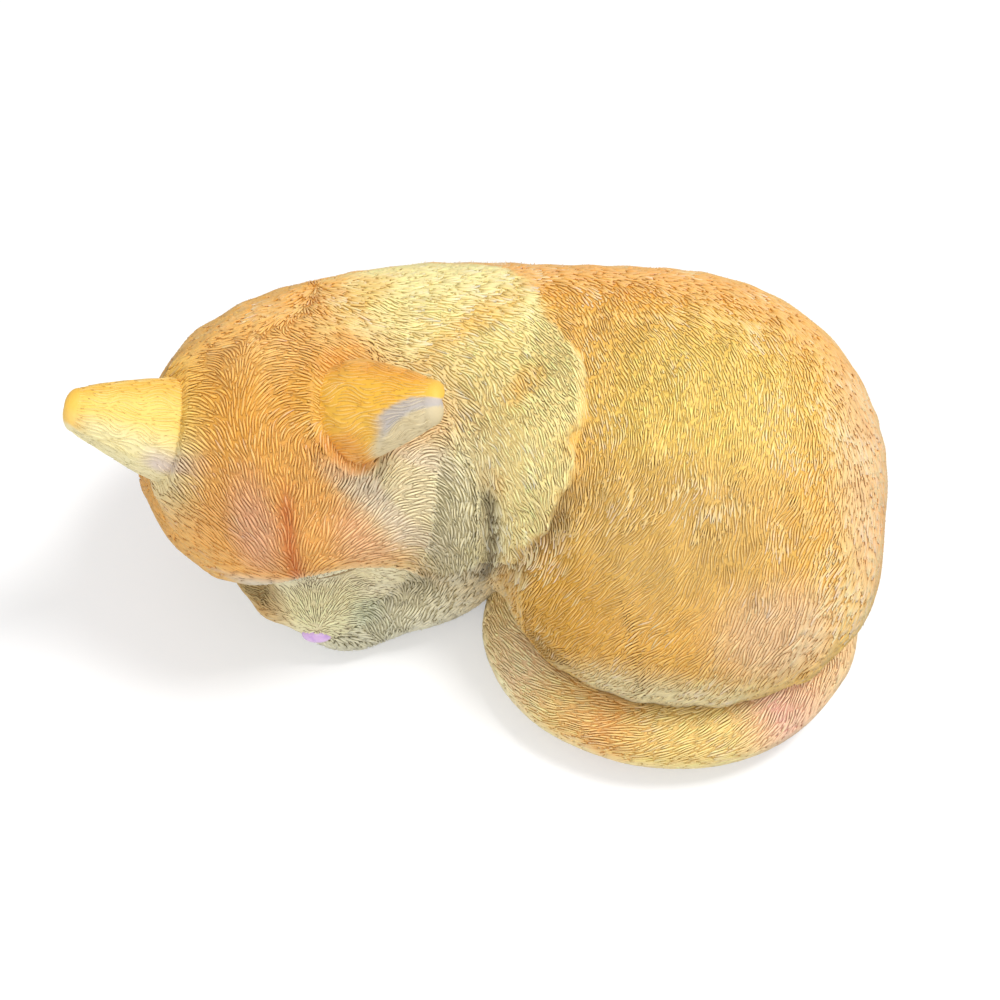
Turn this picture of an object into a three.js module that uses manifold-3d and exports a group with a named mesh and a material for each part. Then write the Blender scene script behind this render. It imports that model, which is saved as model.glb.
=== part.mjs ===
// A cat asleep in a curl: a free-standing ornament, cast in hollow sections that are pinned and glued.
// Millimetres, +Z up. The viewer stands at -Y, with the head at -X and the haunch at +X.
// Left and right are the cat's own.
import * as THREE from 'three';
import { mergeVertices } from 'three/addons/utils/BufferGeometryUtils.js';
import Module from 'manifold-3d';

const wasm = await Module();
wasm.setup();

// Castings and their joints
const shellWall = 6; // wall of the hollow castings
const glueLine = 0.3; // gap that the glue fills between two sections
const holeClearance = 0.3; // room round a pin and behind its end
const bossWall = 2.5; // wall of a hollow casting round a hole

// Underside: a plate let into the rim of the body, on four feet
const footHeight = 1.7;
const footRadius = 7;
const footDraft = 0.8; // how much narrower a foot is at its lower face
const footInset = 5; // from the edge of the plate to the edge of a foot
const footAngles = { foot_front: 285, foot_right: 10, foot_rear: 100, foot_left: 172 };
const plateThickness = 3;
const plateRim = 3; // width of the rim that stays outside the plate
const plateMiddle = [42, 12]; // in plan, where the feet are set out from
const standHeight = footHeight + glueLine; // lowest face of the castings

// The body, modelled as lumps of clay: each is an ellipsoid, blended into those before it
const rump = { at: [72, 8, 36], half: [59, 70, 50] };
const loin = { at: [14, 32, 38], half: [70, 47, 47], blend: 26 };
const ribs = { at: [-36, 26, 42], half: [53, 46, 42], blend: 24 };
const nape = { at: [-58, 18, 58], half: [38, 34, 31], blend: 18 };
const thigh = { at: [66, -27, 33], half: [58, 43, 37], blend: 10 };
const shoulder = { at: [14, -1, 40], half: [28, 29, 43], blend: 7, turn: 10 };

// The ruff: a thicker coat behind the head, with an edge that stands over the flank
const ruff = { at: [-22, 8, 70], half: [57, 60, 46] };
const ruffRise = 2.6; // height of its edge
const ruffEdge = 0.06; // share of its reach in which the edge falls away
const ruffDepth = 0.4; // share of its reach in which it thins towards the neck
const ruffFade = [34, 8]; // from the spine, where it has no edge, to the side where it is full

// Main locks of fur: staggered ridges that run down the body, and out from the neck in the ruff
const lockRise = 1.2;
const lockPitch = 13; // from lock to lock
const lockRun = 26; // length of a lock and the gap after it
const lockWander = 4; // how far the rows sway
const lockWanderRun = 70;
const lockAxis = { north: 20, height: 30, radius: 50 }; // line along the body that the rows go round
const lockFade = [10, 18]; // heights between which they grow, clear of the plate

// The forelegs, blended in the same way
const leftUpperArm = { at: [-13, -11, 38], half: [25, 21, 38] };
const leftForearm = { at: [-18, -20, 16], half: [27, 16, 15], blend: 8, turn: 22 };
const leftPaw = { at: [-38, -30, 9], half: [16, 11, 9], blend: 6, turn: 24 };
const rightForearm = { at: [-74, 8, 17], half: [15, 22, 15] };
const rightPaw = { at: [-65, -13, 10], half: [11, 15, 10], blend: 6, turn: 18 };

// The head, in its own frame: X to the cat's left, -Y to the nose, +Z to the crown
const headAt = [-58, -8, 61];
const headTurn = 3; // degrees about Z
const headRoll = -4; // degrees about Y
const headPitch = 46; // degrees that the nose dips
const headTwist = -10; // degrees about the line of the nose
const skull = { at: [0, 4, 0], half: [42, 38, 33] };
const leftCheek = { at: [30, -5, -8], half: [24, 26, 22], blend: 12 };
const rightCheek = { at: [-26, -8, -12], half: [22, 25, 21], blend: 12 };
const muzzle = { at: [0, -38, -14], half: [19, 19, 14], blend: 10 };
const chin = { at: [0, -36, -24], half: [13, 15, 11], blend: 8 };

// The face: a brow over the muzzle, hollows where the closed eyes lie and one full cheek
const faceMiddle = { at: [2, -52, -5], back: 0.075, up: 0.11 }; // it drifts to the left, going back and up
const browLine = 20; // height of the middle of the brow
const browDroop = 0.02; // times the square of the distance from the middle
const browHalf = [42, 28]; // distances from the middle between which it grows
const browRise = 2.4; // how far it stands out
const browEdge = [-1.6, 1]; // heights from its line between which it stands out
const browFade = [24, 3]; // heights above its line between which it grows from the crown
const browFront = [-6, -18]; // from the side of the head to the face
const leftEye = { at: [19, -35, 2], half: [9, 9, 7], depth: 2.2 };
const rightEye = { at: [-15, -37, 3], half: [9, 9, 7], depth: 3 };
const fullCheek = { at: [27, -36, -9], half: [17, 15, 14], depth: 4.5 };
const padFade = 0.7; // share of a hollow or a cheek that is sloped

// Neck: a flat-topped stub of the body inside the head
const neckLean = 20; // degrees from straight below the crown to the back
const neckDepth = 10; // from the middle of the head to the top of the stub
const neckLip = 5; // cover of the head round the stub
const neckWall = 8; // wall of the head over the stub
const neckVent = 9; // radius of the casting vent through that wall
const dowelRadius = 3;
const dowelLength = 14;
const dowelSpread = 17; // from the middle of the neck to a dowel

// Ears: cupped leaves, with their backs to the viewer
const earLean = 24; // degrees that the cup opens forward
const earRootHalf = 15.5; // half of the width
const earTipHalf = 4;
const earRootBack = 12; // height of the rounded back
const earTipBack = 3.5;
const earTaper = 0.75; // 1 tapers straight, less keeps the leaf full
const earLip = 3.5; // thickness of the edge
const earLeastCup = 0.33; // share of the half width that is hollow where the lip would fill it
const earCup = 0.68; // depth of the cup as a share of the height of the back
const earSunk = 12; // length of the root inside the head
const leftEar = { root: [32, 20.5, 18], tip: [59, 24.5, 30] };
const rightEar = { root: [-30, 19, 20], tip: [-51, 30, 37] };
const earPinRadius = 1.5;
const earPinLength = 10;

// Nose
const noseHalf = [5.2, 3, 2.3];
const noseRise = 15; // degrees above straight ahead of the muzzle

// Tail: stations round the haunch. The side of the tail is sunk into the body by the bed
const curlMiddle = [62, -10]; // in plan
const tailRoot = { angle: -34, height: 36, radius: 13, bed: 24 };
const tailDrop = { angle: -43, height: 21, radius: 12.5, bed: 17 };
const tailLanding = { angle: -60, height: 13, radius: 11.5, bed: 7.5 };
const tailHeel = { angle: -78, height: 11.5, radius: 10.8, bed: 2.8 };
const tailRun = { angle: -98, height: 11.5, radius: 10.5, bed: 1 };
const tailMiddle = { angle: -112, height: 11, radius: 10.5, bed: 1 };
const tailBend = { angle: -126, height: 10.5, radius: 10.5, bed: 1 };
const tailCrook = { angle: -139, height: 10, radius: 10, bed: 1 };
const tailNarrow = { angle: -152, height: 9.5, radius: 9.2, bed: 1 };
const tailTip = { angle: -166, height: 9, radius: 8, bed: 1 };
const tailStations = [
  tailRoot, tailDrop, tailLanding, tailHeel, tailRun, tailMiddle, tailBend, tailCrook, tailNarrow, tailTip,
];
const tailSides = 12;
const tailSteps = 28;
const tailEndLeans = [30, 60]; // degrees round the rounded tip
const sidePinRadius = 2; // pins of the tail and the forelegs
const sidePinLength = 14;
const tailPinStations = { tail_root_pin: tailHeel, tail_tip_pin: tailCrook };

// Fineness of the faceted surfaces
const bodyFacets = 16;
const jointFacets = 10; // of the body at the neck and the plate
const cavityFacets = 5;
const headFacets = 12;
const limbFacets = 6;
const noseFacets = 2;
const roundSides = 20; // sides of pins, holes and feet
const earSteps = 10;
const earArc = 8; // steps round the back of an ear
const marchStep = 1; // search step along a ray
const halvings = 24; // closing in on a surface
const farSpan = 600; // longer than anything here
const weld = 1e-4; // corners closer than this are one

const rad = THREE.MathUtils.degToRad;
const vector = (xyz) => new THREE.Vector3(...xyz);
const halfway = (a, b) => vector(a).lerp(vector(b), 0.5);
const upAxis = new THREE.Vector3(0, 0, 1);
const cylinderAxis = new THREE.Vector3(0, 1, 0);

// Closed geometry to a solid that can be joined and cut
function solidOf(geometry) {
  const bare = geometry.clone();
  bare.deleteAttribute('normal');
  bare.deleteAttribute('uv');
  const welded = mergeVertices(bare, weld);
  const vertProperties = new Float32Array(welded.getAttribute('position').array);
  const triVerts = new Uint32Array(welded.getIndex().array);
  return new wasm.Manifold(new wasm.Mesh({ numProp: 3, vertProperties, triVerts }));
}

function geometryOf(solid) {
  const { vertProperties, triVerts } = solid.getMesh();
  const geometry = new THREE.BufferGeometry();
  geometry.setAttribute('position', new THREE.BufferAttribute(vertProperties, 3));
  geometry.setIndex(new THREE.BufferAttribute(triVerts, 1));
  geometry.computeVertexNormals();
  return geometry;
}

// Distance from an ellipsoid: true on its surface and close to true near it
function lumpDistance(point, { at, half, turn = 0 }) {
  const east = point.x - at[0];
  const north = point.y - at[1];
  const x = east * Math.cos(rad(turn)) + north * Math.sin(rad(turn));
  const y = north * Math.cos(rad(turn)) - east * Math.sin(rad(turn));
  const z = point.z - at[2];
  const reach = Math.hypot(x / half[0], y / half[1], z / half[2]);
  const slope = Math.hypot(x / half[0] ** 2, y / half[1] ** 2, z / half[2] ** 2);
  return slope > 0 ? (reach * (reach - 1)) / slope : -Math.min(...half);
}

// Lumps pressed together one after another, each with a fillet of its blend width
function pressed(lumps) {
  return (point) => {
    let distance = lumpDistance(point, lumps[0]);
    for (const lump of lumps.slice(1)) {
      const next = lumpDistance(point, lump);
      const share = THREE.MathUtils.clamp(0.5 + (next - distance) / (2 * lump.blend), 0, 1);
      distance = next + (distance - next) * share - lump.blend * share * (1 - share);
    }
    return distance;
  };
}

// Smooth step from 0 at one value to 1 at another
const between = (value, [from, to]) => THREE.MathUtils.smoothstep((value - from) / (to - from), 0, 1);
const swell = (turns) => 0.5 + 0.5 * Math.cos(2 * Math.PI * turns); // 1 at whole turns, 0 between

// How far inside an ellipsoid a point is: 0 on its surface, 1 in its middle
function within({ x, y, z }, { at, half }) {
  return 1 - Math.hypot((x - at[0]) / half[0], (y - at[1]) / half[1], (z - at[2]) / half[2]);
}

// Height of the locks as a share: every second row lies half a lock behind
function lockRidge(across, along) {
  const row = Math.round(across / lockPitch);
  return swell(across / lockPitch) * swell(along / lockRun + row / 2);
}

// Height of the coat over the body: the ruff thins towards the neck, and locks lie over all of it
function coatLift(point) {
  const inside = within(point, ruff);
  const full = between(inside, [0, ruffEdge]);
  const edge = full * between(inside, [ruffDepth, 0]) * between(point.y, ruffFade);
  const around = Math.atan2(lockAxis.north - point.y, point.z - lockAxis.height) * lockAxis.radius;
  const sway = lockWander * Math.sin((2 * Math.PI * around) / lockWanderRun);
  const [east, north] = [point.x - headAt[0], point.y - headAt[1]];
  const fan = lockRidge(Math.atan2(north, east) * lockAxis.radius, Math.hypot(east, north));
  const locks = THREE.MathUtils.lerp(lockRidge(point.x + sway, around), fan, full);
  return ruffRise * edge + lockRise * locks * between(point.z, lockFade);
}

// Height of the face over the head: the hollows stay below the brow
function faceLift(point) {
  const { at, back, up } = faceMiddle;
  const across = point.x - at[0] - back * (point.y - at[1]) - up * (point.z - at[2]);
  const above = point.z - browLine + browDroop * across ** 2;
  const full = between(above, browEdge) * between(Math.abs(across), browHalf);
  const brow = full * between(above, browFade) * between(point.y, browFront);
  const pad = (form) => form.depth * between(within(point, form), [0, padFade]);
  return browRise * brow + pad(fullCheek) - (pad(leftEye) + pad(rightEye)) * (1 - full);
}

// Length of the ray from a point inside to the first place where the field reaches the offset
function exitLength(field, from, ray, offset = 0) {
  const at = (length) => field(from.clone().addScaledVector(ray, length)) - offset;
  let far = marchStep;
  while (at(far) < 0 && far < farSpan) {
    far += marchStep;
  }
  let near = far - marchStep;
  for (let i = 0; i < halvings; i += 1) {
    const middle = (near + far) / 2;
    if (at(middle) < 0) {
      near = middle;
    } else {
      far = middle;
    }
  }
  return (near + far) / 2;
}

// Skin of a form at an offset from its field: a ball round the core, each corner moved out along its ray
function skin(form, offset = 0, facets = form.facets) {
  const ball = new THREE.IcosahedronGeometry(1, facets);
  ball.deleteAttribute('normal');
  ball.deleteAttribute('uv');
  const geometry = mergeVertices(ball, weld);
  const corners = geometry.getAttribute('position');
  for (let i = 0; i < corners.count; i += 1) {
    const ray = new THREE.Vector3().fromBufferAttribute(corners, i).multiply(form.reach).normalize();
    const corner = form.core.clone().addScaledVector(ray, exitLength(form.field, form.core, ray, offset));
    corners.setXYZ(i, corner.x, corner.y, corner.z);
  }
  if (form.frame) {
    geometry.applyMatrix4(form.frame);
  }
  return solidOf(geometry);
}

// Rings of equal length joined into a closed skin, with a fan over each end
function loft(rings) {
  const count = rings[0].length;
  const corners = rings.flat();
  const faces = [];
  for (let ring = 0; ring + 1 < rings.length; ring += 1) {
    for (let i = 0; i < count; i += 1) {
      const a = ring * count + i;
      const b = ring * count + ((i + 1) % count);
      faces.push(a, b, b + count, a, b + count, a + count);
    }
  }
  for (const [ring, flip] of [[rings[0], true], [rings.at(-1), false]]) {
    const start = flip ? 0 : (rings.length - 1) * count;
    const middle = corners.length;
    corners.push(ring.reduce((sum, corner) => sum.add(corner), new THREE.Vector3()).divideScalar(count));
    for (let i = 0; i < count; i += 1) {
      const a = start + i;
      const b = start + ((i + 1) % count);
      faces.push(middle, flip ? b : a, flip ? a : b);
    }
  }
  const geometry = new THREE.BufferGeometry();
  geometry.setAttribute('position', new THREE.Float32BufferAttribute(corners.flatMap((c) => c.toArray()), 3));
  geometry.setIndex(faces);
  return geometry;
}

// A block that fills everything on the far side of a plane
function beyond(point, normal) {
  const block = new THREE.BoxGeometry(farSpan, farSpan, farSpan).translate(0, 0, farSpan / 2);
  block.applyQuaternion(new THREE.Quaternion().setFromUnitVectors(upAxis, normal));
  return solidOf(block.translate(...point.toArray()));
}

// A pin across a joint: its middle, its direction and its size
function pinShape(pin, clearance = 0) {
  const radius = pin.radius + clearance;
  return new THREE.CylinderGeometry(radius, radius, pin.length + 2 * clearance, roundSides);
}

function pinTurn(pin) {
  return new THREE.Quaternion().setFromUnitVectors(cylinderAxis, pin.along);
}

function pinHole(pin, wall = 0) {
  const hole = pinShape(pin, holeClearance + wall).applyQuaternion(pinTurn(pin));
  return solidOf(hole.translate(...pin.at.toArray()));
}

const ground = beyond(new THREE.Vector3(0, 0, standHeight), upAxis.clone().negate());

// Forms and frames of the sections
const bodyClay = pressed([rump, loin, ribs, nape, thigh, shoulder]);
const headClay = pressed([skull, leftCheek, rightCheek, muzzle, chin]);
const bodyForm = {
  field: (point) => bodyClay(point) - coatLift(point),
  core: new THREE.Vector3((rump.at[0] + ribs.at[0]) / 2, (loin.at[1] + shoulder.at[1]) / 2, loin.at[2]),
  reach: new THREE.Vector3(loin.half[0] + ribs.half[0], rump.half[1], rump.half[2]),
  facets: bodyFacets,
};
const leftLegForm = {
  field: pressed([leftUpperArm, leftForearm, leftPaw]),
  core: halfway(leftUpperArm.at, leftForearm.at),
  reach: new THREE.Vector3(1, 1, 1),
  facets: limbFacets,
};
const rightLegForm = {
  field: pressed([rightForearm, rightPaw]),
  core: halfway(rightForearm.at, rightPaw.at),
  reach: new THREE.Vector3(1, 1, 1),
  facets: limbFacets,
};
const headTurns = [
  new THREE.Matrix4().makeRotationZ(rad(headTurn)),
  new THREE.Matrix4().makeRotationY(rad(headRoll)),
  new THREE.Matrix4().makeRotationX(rad(headPitch)),
  new THREE.Matrix4().makeRotationY(rad(headTwist)),
];
const headFrame = headTurns.reduce((frame, turn) => frame.multiply(turn), new THREE.Matrix4())
  .setPosition(...headAt);
const headForm = {
  field: (point) => headClay(point) - faceLift(point),
  core: vector(skull.at),
  reach: new THREE.Vector3(1, 1, 1),
  facets: headFacets,
};
const headInPlace = { ...headForm, frame: headFrame };
const bodyInHead = { ...bodyForm, frame: headFrame.clone().invert() };

// Neck: the stub stands in the recess of the head, a glue line apart
const neckAxis = new THREE.Vector3(0, Math.sin(rad(neckLean)), -Math.cos(rad(neckLean)));
const neckAxisInPlace = neckAxis.clone().transformDirection(headFrame);
const neckTop = neckAxis.clone().multiplyScalar(neckDepth);
const neckRecess = skin(bodyInHead, -neckLip, jointFacets).intersect(beyond(neckTop, neckAxis));
const stubTop = neckAxis.clone().multiplyScalar(neckDepth + glueLine).applyMatrix4(headFrame);
const neckStub = skin(bodyForm, -neckLip - glueLine, jointFacets).intersect(beyond(stubTop, neckAxisInPlace));
const neckDowels = {};
for (const [side, sign] of [['left', 1], ['right', -1]]) {
  const at = neckTop.clone().setX(sign * dowelSpread).addScaledVector(neckAxis, glueLine / 2);
  neckDowels[`neck_dowel_${side}`] = { at, along: neckAxis, radius: dowelRadius, length: dowelLength };
}
const neckVentLength = 2 * (neckWall + glueLine);
const ventPin = { at: neckTop, along: neckAxis, radius: neckVent, length: neckVentLength };

function placed(pin, frame) {
  const at = pin.at.clone().applyMatrix4(frame);
  const along = pin.along.clone().transformDirection(frame);
  return { ...pin, at, along };
}

// A pin where a ray from inside leaves a form
function pinAcross(form, from, towards, radius, length) {
  const along = towards.clone().sub(from).normalize();
  const at = from.clone().addScaledVector(along, exitLength(form.field, from, along, glueLine / 2));
  return { at, along, radius, length };
}

// Tail: each station stands off the haunch by its radius less its bed
const haunchField = pressed([rump, thigh]);

function tailPoint({ angle, height, radius, bed }) {
  const from = new THREE.Vector3(...curlMiddle, height);
  const ray = new THREE.Vector3(Math.cos(rad(angle)), Math.sin(rad(angle)), 0);
  return from.clone().addScaledVector(ray, exitLength(haunchField, from, ray, radius - bed));
}

const tailPath = new THREE.CatmullRomCurve3(tailStations.map(tailPoint), false, 'centripetal');

function tailRadius(share) {
  const place = share * (tailStations.length - 1);
  const before = Math.min(Math.floor(place), tailStations.length - 2);
  const { radius } = tailStations[before];
  return THREE.MathUtils.lerp(radius, tailStations[before + 1].radius, place - before);
}

// Rings square to the path, drawn in to a round end at the tip
function tailShape() {
  const rings = [];
  for (let step = 0; step <= tailSteps; step += 1) {
    const share = step / tailSteps;
    const middle = tailPath.getPoint(share);
    const along = tailPath.getTangent(share);
    const across = new THREE.Vector3().crossVectors(upAxis, along).normalize();
    const over = new THREE.Vector3().crossVectors(along, across);
    const radius = tailRadius(share);
    rings.push(round(middle, across, over, radius));
    if (step === tailSteps) {
      for (const lean of tailEndLeans) {
        const cap = middle.clone().addScaledVector(along, radius * Math.sin(rad(lean)));
        rings.push(round(cap, across, over, radius * Math.cos(rad(lean))));
      }
    }
  }
  return loft(rings);
}

function round(middle, across, over, radius) {
  return Array.from({ length: tailSides }, (_, i) => {
    const turn = (2 * Math.PI * i) / tailSides;
    const corner = middle.clone().addScaledVector(across, radius * Math.cos(turn));
    return corner.addScaledVector(over, radius * Math.sin(turn));
  });
}

// The leaf's own directions: from root to tip, across its width and out of its back
function earAxes({ root, tip }) {
  const along = vector(tip).sub(vector(root)).normalize();
  const lean = new THREE.Vector3(0, Math.sin(rad(earLean)), Math.cos(rad(earLean)));
  const across = new THREE.Vector3().crossVectors(lean, along).normalize();
  const back = new THREE.Vector3().crossVectors(along, across);
  return { along, across, back };
}

// One half-round section, hollowed by the cup: the back from edge to edge, then the inside
function earRing(middle, { across, back }, half, height, cup) {
  const corner = (width, rise) => middle.clone().addScaledVector(across, width).addScaledVector(back, rise);
  const inside = Math.max(half - earLip, half * earLeastCup);
  const turns = Array.from({ length: earArc + 1 }, (_, i) => (Math.PI * i) / earArc);
  const outer = turns.map((turn) => corner(half * Math.cos(turn), height * Math.sin(turn)));
  const inner = turns.map((turn) => corner(-inside * Math.cos(turn), cup * Math.sin(turn)));
  return [...outer, ...inner];
}

// The sections run from inside the head to the tip, and the cup fades out at both ends
function earShape(ear) {
  const axes = earAxes(ear);
  const root = vector(ear.root);
  const length = vector(ear.tip).distanceTo(root);
  const sunk = root.clone().addScaledVector(axes.along, -earSunk);
  const rings = [earRing(sunk, axes, earRootHalf, earRootBack, 0)];
  for (let step = 0; step <= earSteps; step += 1) {
    const share = step / earSteps;
    const full = (1 - share) ** earTaper;
    const half = THREE.MathUtils.lerp(earTipHalf, earRootHalf, full);
    const height = THREE.MathUtils.lerp(earTipBack, earRootBack, full);
    const cup = height * earCup * Math.sin(Math.PI * share);
    rings.push(earRing(root.clone().addScaledVector(axes.along, length * share), axes, half, height, cup));
  }
  return loft(rings);
}

// The pin runs along the middle of the leaf's thick root
function earPin(ear) {
  const { along, back } = earAxes(ear);
  const from = vector(ear.root).addScaledVector(back, earRootBack / 2).addScaledVector(along, -earSunk);
  return pinAcross(headForm, from, from.clone().add(along), earPinRadius, earPinLength);
}

const earPins = { left_ear_pin: earPin(leftEar), right_ear_pin: earPin(rightEar) };

// Direction in which a field grows fastest
function slopeOf(field, point) {
  const rise = [new THREE.Vector3(1, 0, 0), new THREE.Vector3(0, 1, 0), upAxis].map((axis) => {
    const ahead = point.clone().addScaledVector(axis, marchStep);
    const behind = point.clone().addScaledVector(axis, -marchStep);
    return field(ahead) - field(behind);
  });
  return vector(rise).normalize();
}

// A tail pin stands square to the body where the tail lies closest
const tailPins = {};
for (const [name, station] of Object.entries(tailPinStations)) {
  const middle = tailPoint(station);
  const out = slopeOf(bodyForm.field, middle);
  const inside = middle.clone().addScaledVector(out, -station.radius - shellWall);
  tailPins[name] = pinAcross(bodyForm, inside, middle, sidePinRadius, sidePinLength);
}
const legPins = {
  left_foreleg_pin: pinAcross(bodyForm, bodyForm.core, leftLegForm.core, sidePinRadius, sidePinLength),
  right_foreleg_pin: pinAcross(bodyForm, vector(ribs.at), rightLegForm.core, sidePinRadius, sidePinLength),
};

const cutBy = (solid, cutters) => cutters.reduce((rest, cutter) => rest.subtract(cutter), solid);
const holes = (pins) => Object.values(pins).map((pin) => pinHole(pin));
const bosses = (pins) => Object.values(pins).map((pin) => pinHole(pin, bossWall));

// Head: hollow, with the recess for the stub and the vent between the two
const headHollow = cutBy(skin(headForm, -shellWall, cavityFacets), [
  beyond(neckAxis.clone().multiplyScalar(neckDepth - neckWall), neckAxis),
  ...bosses(neckDowels), ...bosses(earPins),
]);
const headShell = cutBy(skin(headForm), [
  neckRecess, headHollow, pinHole(ventPin), ...holes(neckDowels), ...holes(earPins),
]);
const headRoom = skin(headForm, glueLine);
const headRoomInPlace = skin(headInPlace, glueLine);

const muzzleAhead = new THREE.Vector3(0, -Math.cos(rad(noseRise)), Math.sin(rad(noseRise)));
const noseAt = vector(muzzle.at)
  .addScaledVector(muzzleAhead, exitLength(headForm.field, vector(muzzle.at), muzzleAhead));

function noseShape(clearance = 0) {
  const half = noseHalf.map((size) => size + clearance);
  return new THREE.IcosahedronGeometry(1, noseFacets).scale(...half).translate(...noseAt);
}

const nosePad = solidOf(noseShape()).subtract(headRoom);
const noseRoomInPlace = solidOf(noseShape(glueLine).applyMatrix4(headFrame));

// Body: the skin with the socket for the head, hollow inside, rebated for the plate
const placedDowels = Object.values(neckDowels).map((dowel) => placed(dowel, headFrame));
const bodyPins = [...placedDowels, ...Object.values(tailPins), ...Object.values(legPins)];
const plateTop = new THREE.Vector3(0, 0, standHeight + plateThickness);
const rebateTop = plateTop.clone().addScaledVector(upAxis, glueLine);
const bodyHollow = cutBy(skin(bodyForm, -shellWall, cavityFacets), [
  skin(headInPlace, shellWall, cavityFacets), ...bosses(bodyPins),
]);
const rebate = skin(bodyForm, -plateRim, jointFacets).subtract(beyond(rebateTop, upAxis));
const bodyShell = cutBy(skin(bodyForm), [
  headRoomInPlace.subtract(neckStub), bodyHollow, rebate, ground, ...holes(bodyPins),
]);
const plateSkin = skin(bodyForm, -plateRim - glueLine, jointFacets);
const basePlate = cutBy(plateSkin, [beyond(plateTop, upAxis), ground]);

// Legs and tail, cut where the larger sections stand
const bodyRoom = skin(bodyForm, glueLine);
const leftLegRoom = skin(leftLegForm, glueLine);
const legCutters = [bodyRoom, headRoomInPlace, noseRoomInPlace, ground, ...holes(legPins)];
const rightLeg = cutBy(skin(rightLegForm), legCutters);
const leftLeg = cutBy(skin(leftLegForm), legCutters);
const tail = cutBy(solidOf(tailShape()), [bodyRoom, leftLegRoom, ground, ...holes(tailPins)]);

const earSolid = (ear, pins) => cutBy(solidOf(earShape(ear)), [headRoom, ...holes(pins)]);

// Finishes
function finish(color, roughness, metalness = 0) {
  return new THREE.MeshStandardMaterial({ color, roughness, metalness });
}

const gingerFur = finish(0xe0a548, 0.6);
const foreheadFur = finish(0xdc9850, 0.6);
const creamFur = finish(0xd8cf9c, 0.65);
const earPaint = finish(0xf0c860, 0.5);
const nosePaint = finish(0xc9a0cc, 0.3);
const plateBoard = finish(0x8a7a5c, 0.8);
const blackRubber = finish(0x2a2a2a, 0.9);
const pinWood = finish(0xc8a878, 0.75);
const pinSteel = finish(0xa8abae, 0.35, 1);

function piece(name, geometry, material) {
  const mesh = new THREE.Mesh(geometry, material);
  mesh.name = name;
  return mesh;
}

function pinPiece(name, pin, material) {
  const mesh = piece(name, pinShape(pin), material);
  mesh.position.copy(pin.at);
  mesh.quaternion.copy(pinTurn(pin));
  return mesh;
}

// A foot stands under the plate, inset from the plate's edge along its angle
function footPiece(name, angle) {
  const shape = new THREE.CylinderGeometry(footRadius, footRadius - footDraft, footHeight, roundSides);
  const foot = piece(name, shape.rotateX(Math.PI / 2), blackRubber);
  const middle = new THREE.Vector3(...plateMiddle, standHeight);
  const ray = new THREE.Vector3(Math.cos(rad(angle)), Math.sin(rad(angle)), 0);
  const edge = exitLength(bodyForm.field, middle, ray, -plateRim - glueLine);
  foot.position.copy(middle).addScaledVector(ray, edge - footInset - footRadius).setZ(footHeight / 2);
  return foot;
}

const head = new THREE.Group();
head.applyMatrix4(headFrame);
head.add(piece('head_shell', geometryOf(headShell), foreheadFur));
head.add(piece('left_ear', geometryOf(earSolid(leftEar, earPins)), earPaint));
head.add(piece('right_ear', geometryOf(earSolid(rightEar, earPins)), earPaint));
head.add(piece('nose_pad', geometryOf(nosePad), nosePaint));
for (const [name, pin] of Object.entries(earPins)) {
  head.add(pinPiece(name, pin, pinSteel));
}
for (const [name, dowel] of Object.entries(neckDowels)) {
  head.add(pinPiece(name, dowel, pinWood));
}

const cat = new THREE.Group();
cat.add(head);
cat.add(piece('body_shell', geometryOf(bodyShell), gingerFur));
cat.add(piece('tail', geometryOf(tail), gingerFur));
cat.add(piece('left_foreleg', geometryOf(leftLeg), creamFur));
cat.add(piece('right_foreleg', geometryOf(rightLeg), creamFur));
cat.add(piece('base_plate', geometryOf(basePlate), plateBoard));
for (const [name, pin] of Object.entries({ ...tailPins, ...legPins })) {
  cat.add(pinPiece(name, pin, pinSteel));
}
for (const [name, angle] of Object.entries(footAngles)) {
  cat.add(footPiece(name, angle));
}

// Origin on the table, below the middle of the cat
const box = new THREE.Box3().setFromObject(cat, true);
const middle = box.getCenter(new THREE.Vector3());
cat.position.set(-middle.x, -middle.y, -box.min.z);

export default cat;
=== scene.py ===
import math

import bpy
import numpy as np
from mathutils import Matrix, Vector


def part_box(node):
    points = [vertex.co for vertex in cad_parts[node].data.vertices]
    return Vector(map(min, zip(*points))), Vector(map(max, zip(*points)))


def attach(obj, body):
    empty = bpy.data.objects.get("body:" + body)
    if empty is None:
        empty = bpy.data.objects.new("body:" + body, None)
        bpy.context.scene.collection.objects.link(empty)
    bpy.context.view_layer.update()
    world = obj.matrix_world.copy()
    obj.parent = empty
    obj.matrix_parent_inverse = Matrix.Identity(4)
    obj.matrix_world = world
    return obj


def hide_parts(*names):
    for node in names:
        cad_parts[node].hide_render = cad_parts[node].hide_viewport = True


# A cat asleep in a curl, painted resin with carved fur. The castings stand where the CAD has them,
# and every strand of fur is a ridge laid on their surface. Lengths here are millimetres.

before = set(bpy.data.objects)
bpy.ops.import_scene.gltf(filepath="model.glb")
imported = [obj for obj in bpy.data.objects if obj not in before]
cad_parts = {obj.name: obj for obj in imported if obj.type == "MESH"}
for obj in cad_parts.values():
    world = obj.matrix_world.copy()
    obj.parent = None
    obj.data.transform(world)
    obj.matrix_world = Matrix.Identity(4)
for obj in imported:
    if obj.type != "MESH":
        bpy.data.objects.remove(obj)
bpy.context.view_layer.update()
metre = 1000  # in millimetres

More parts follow.
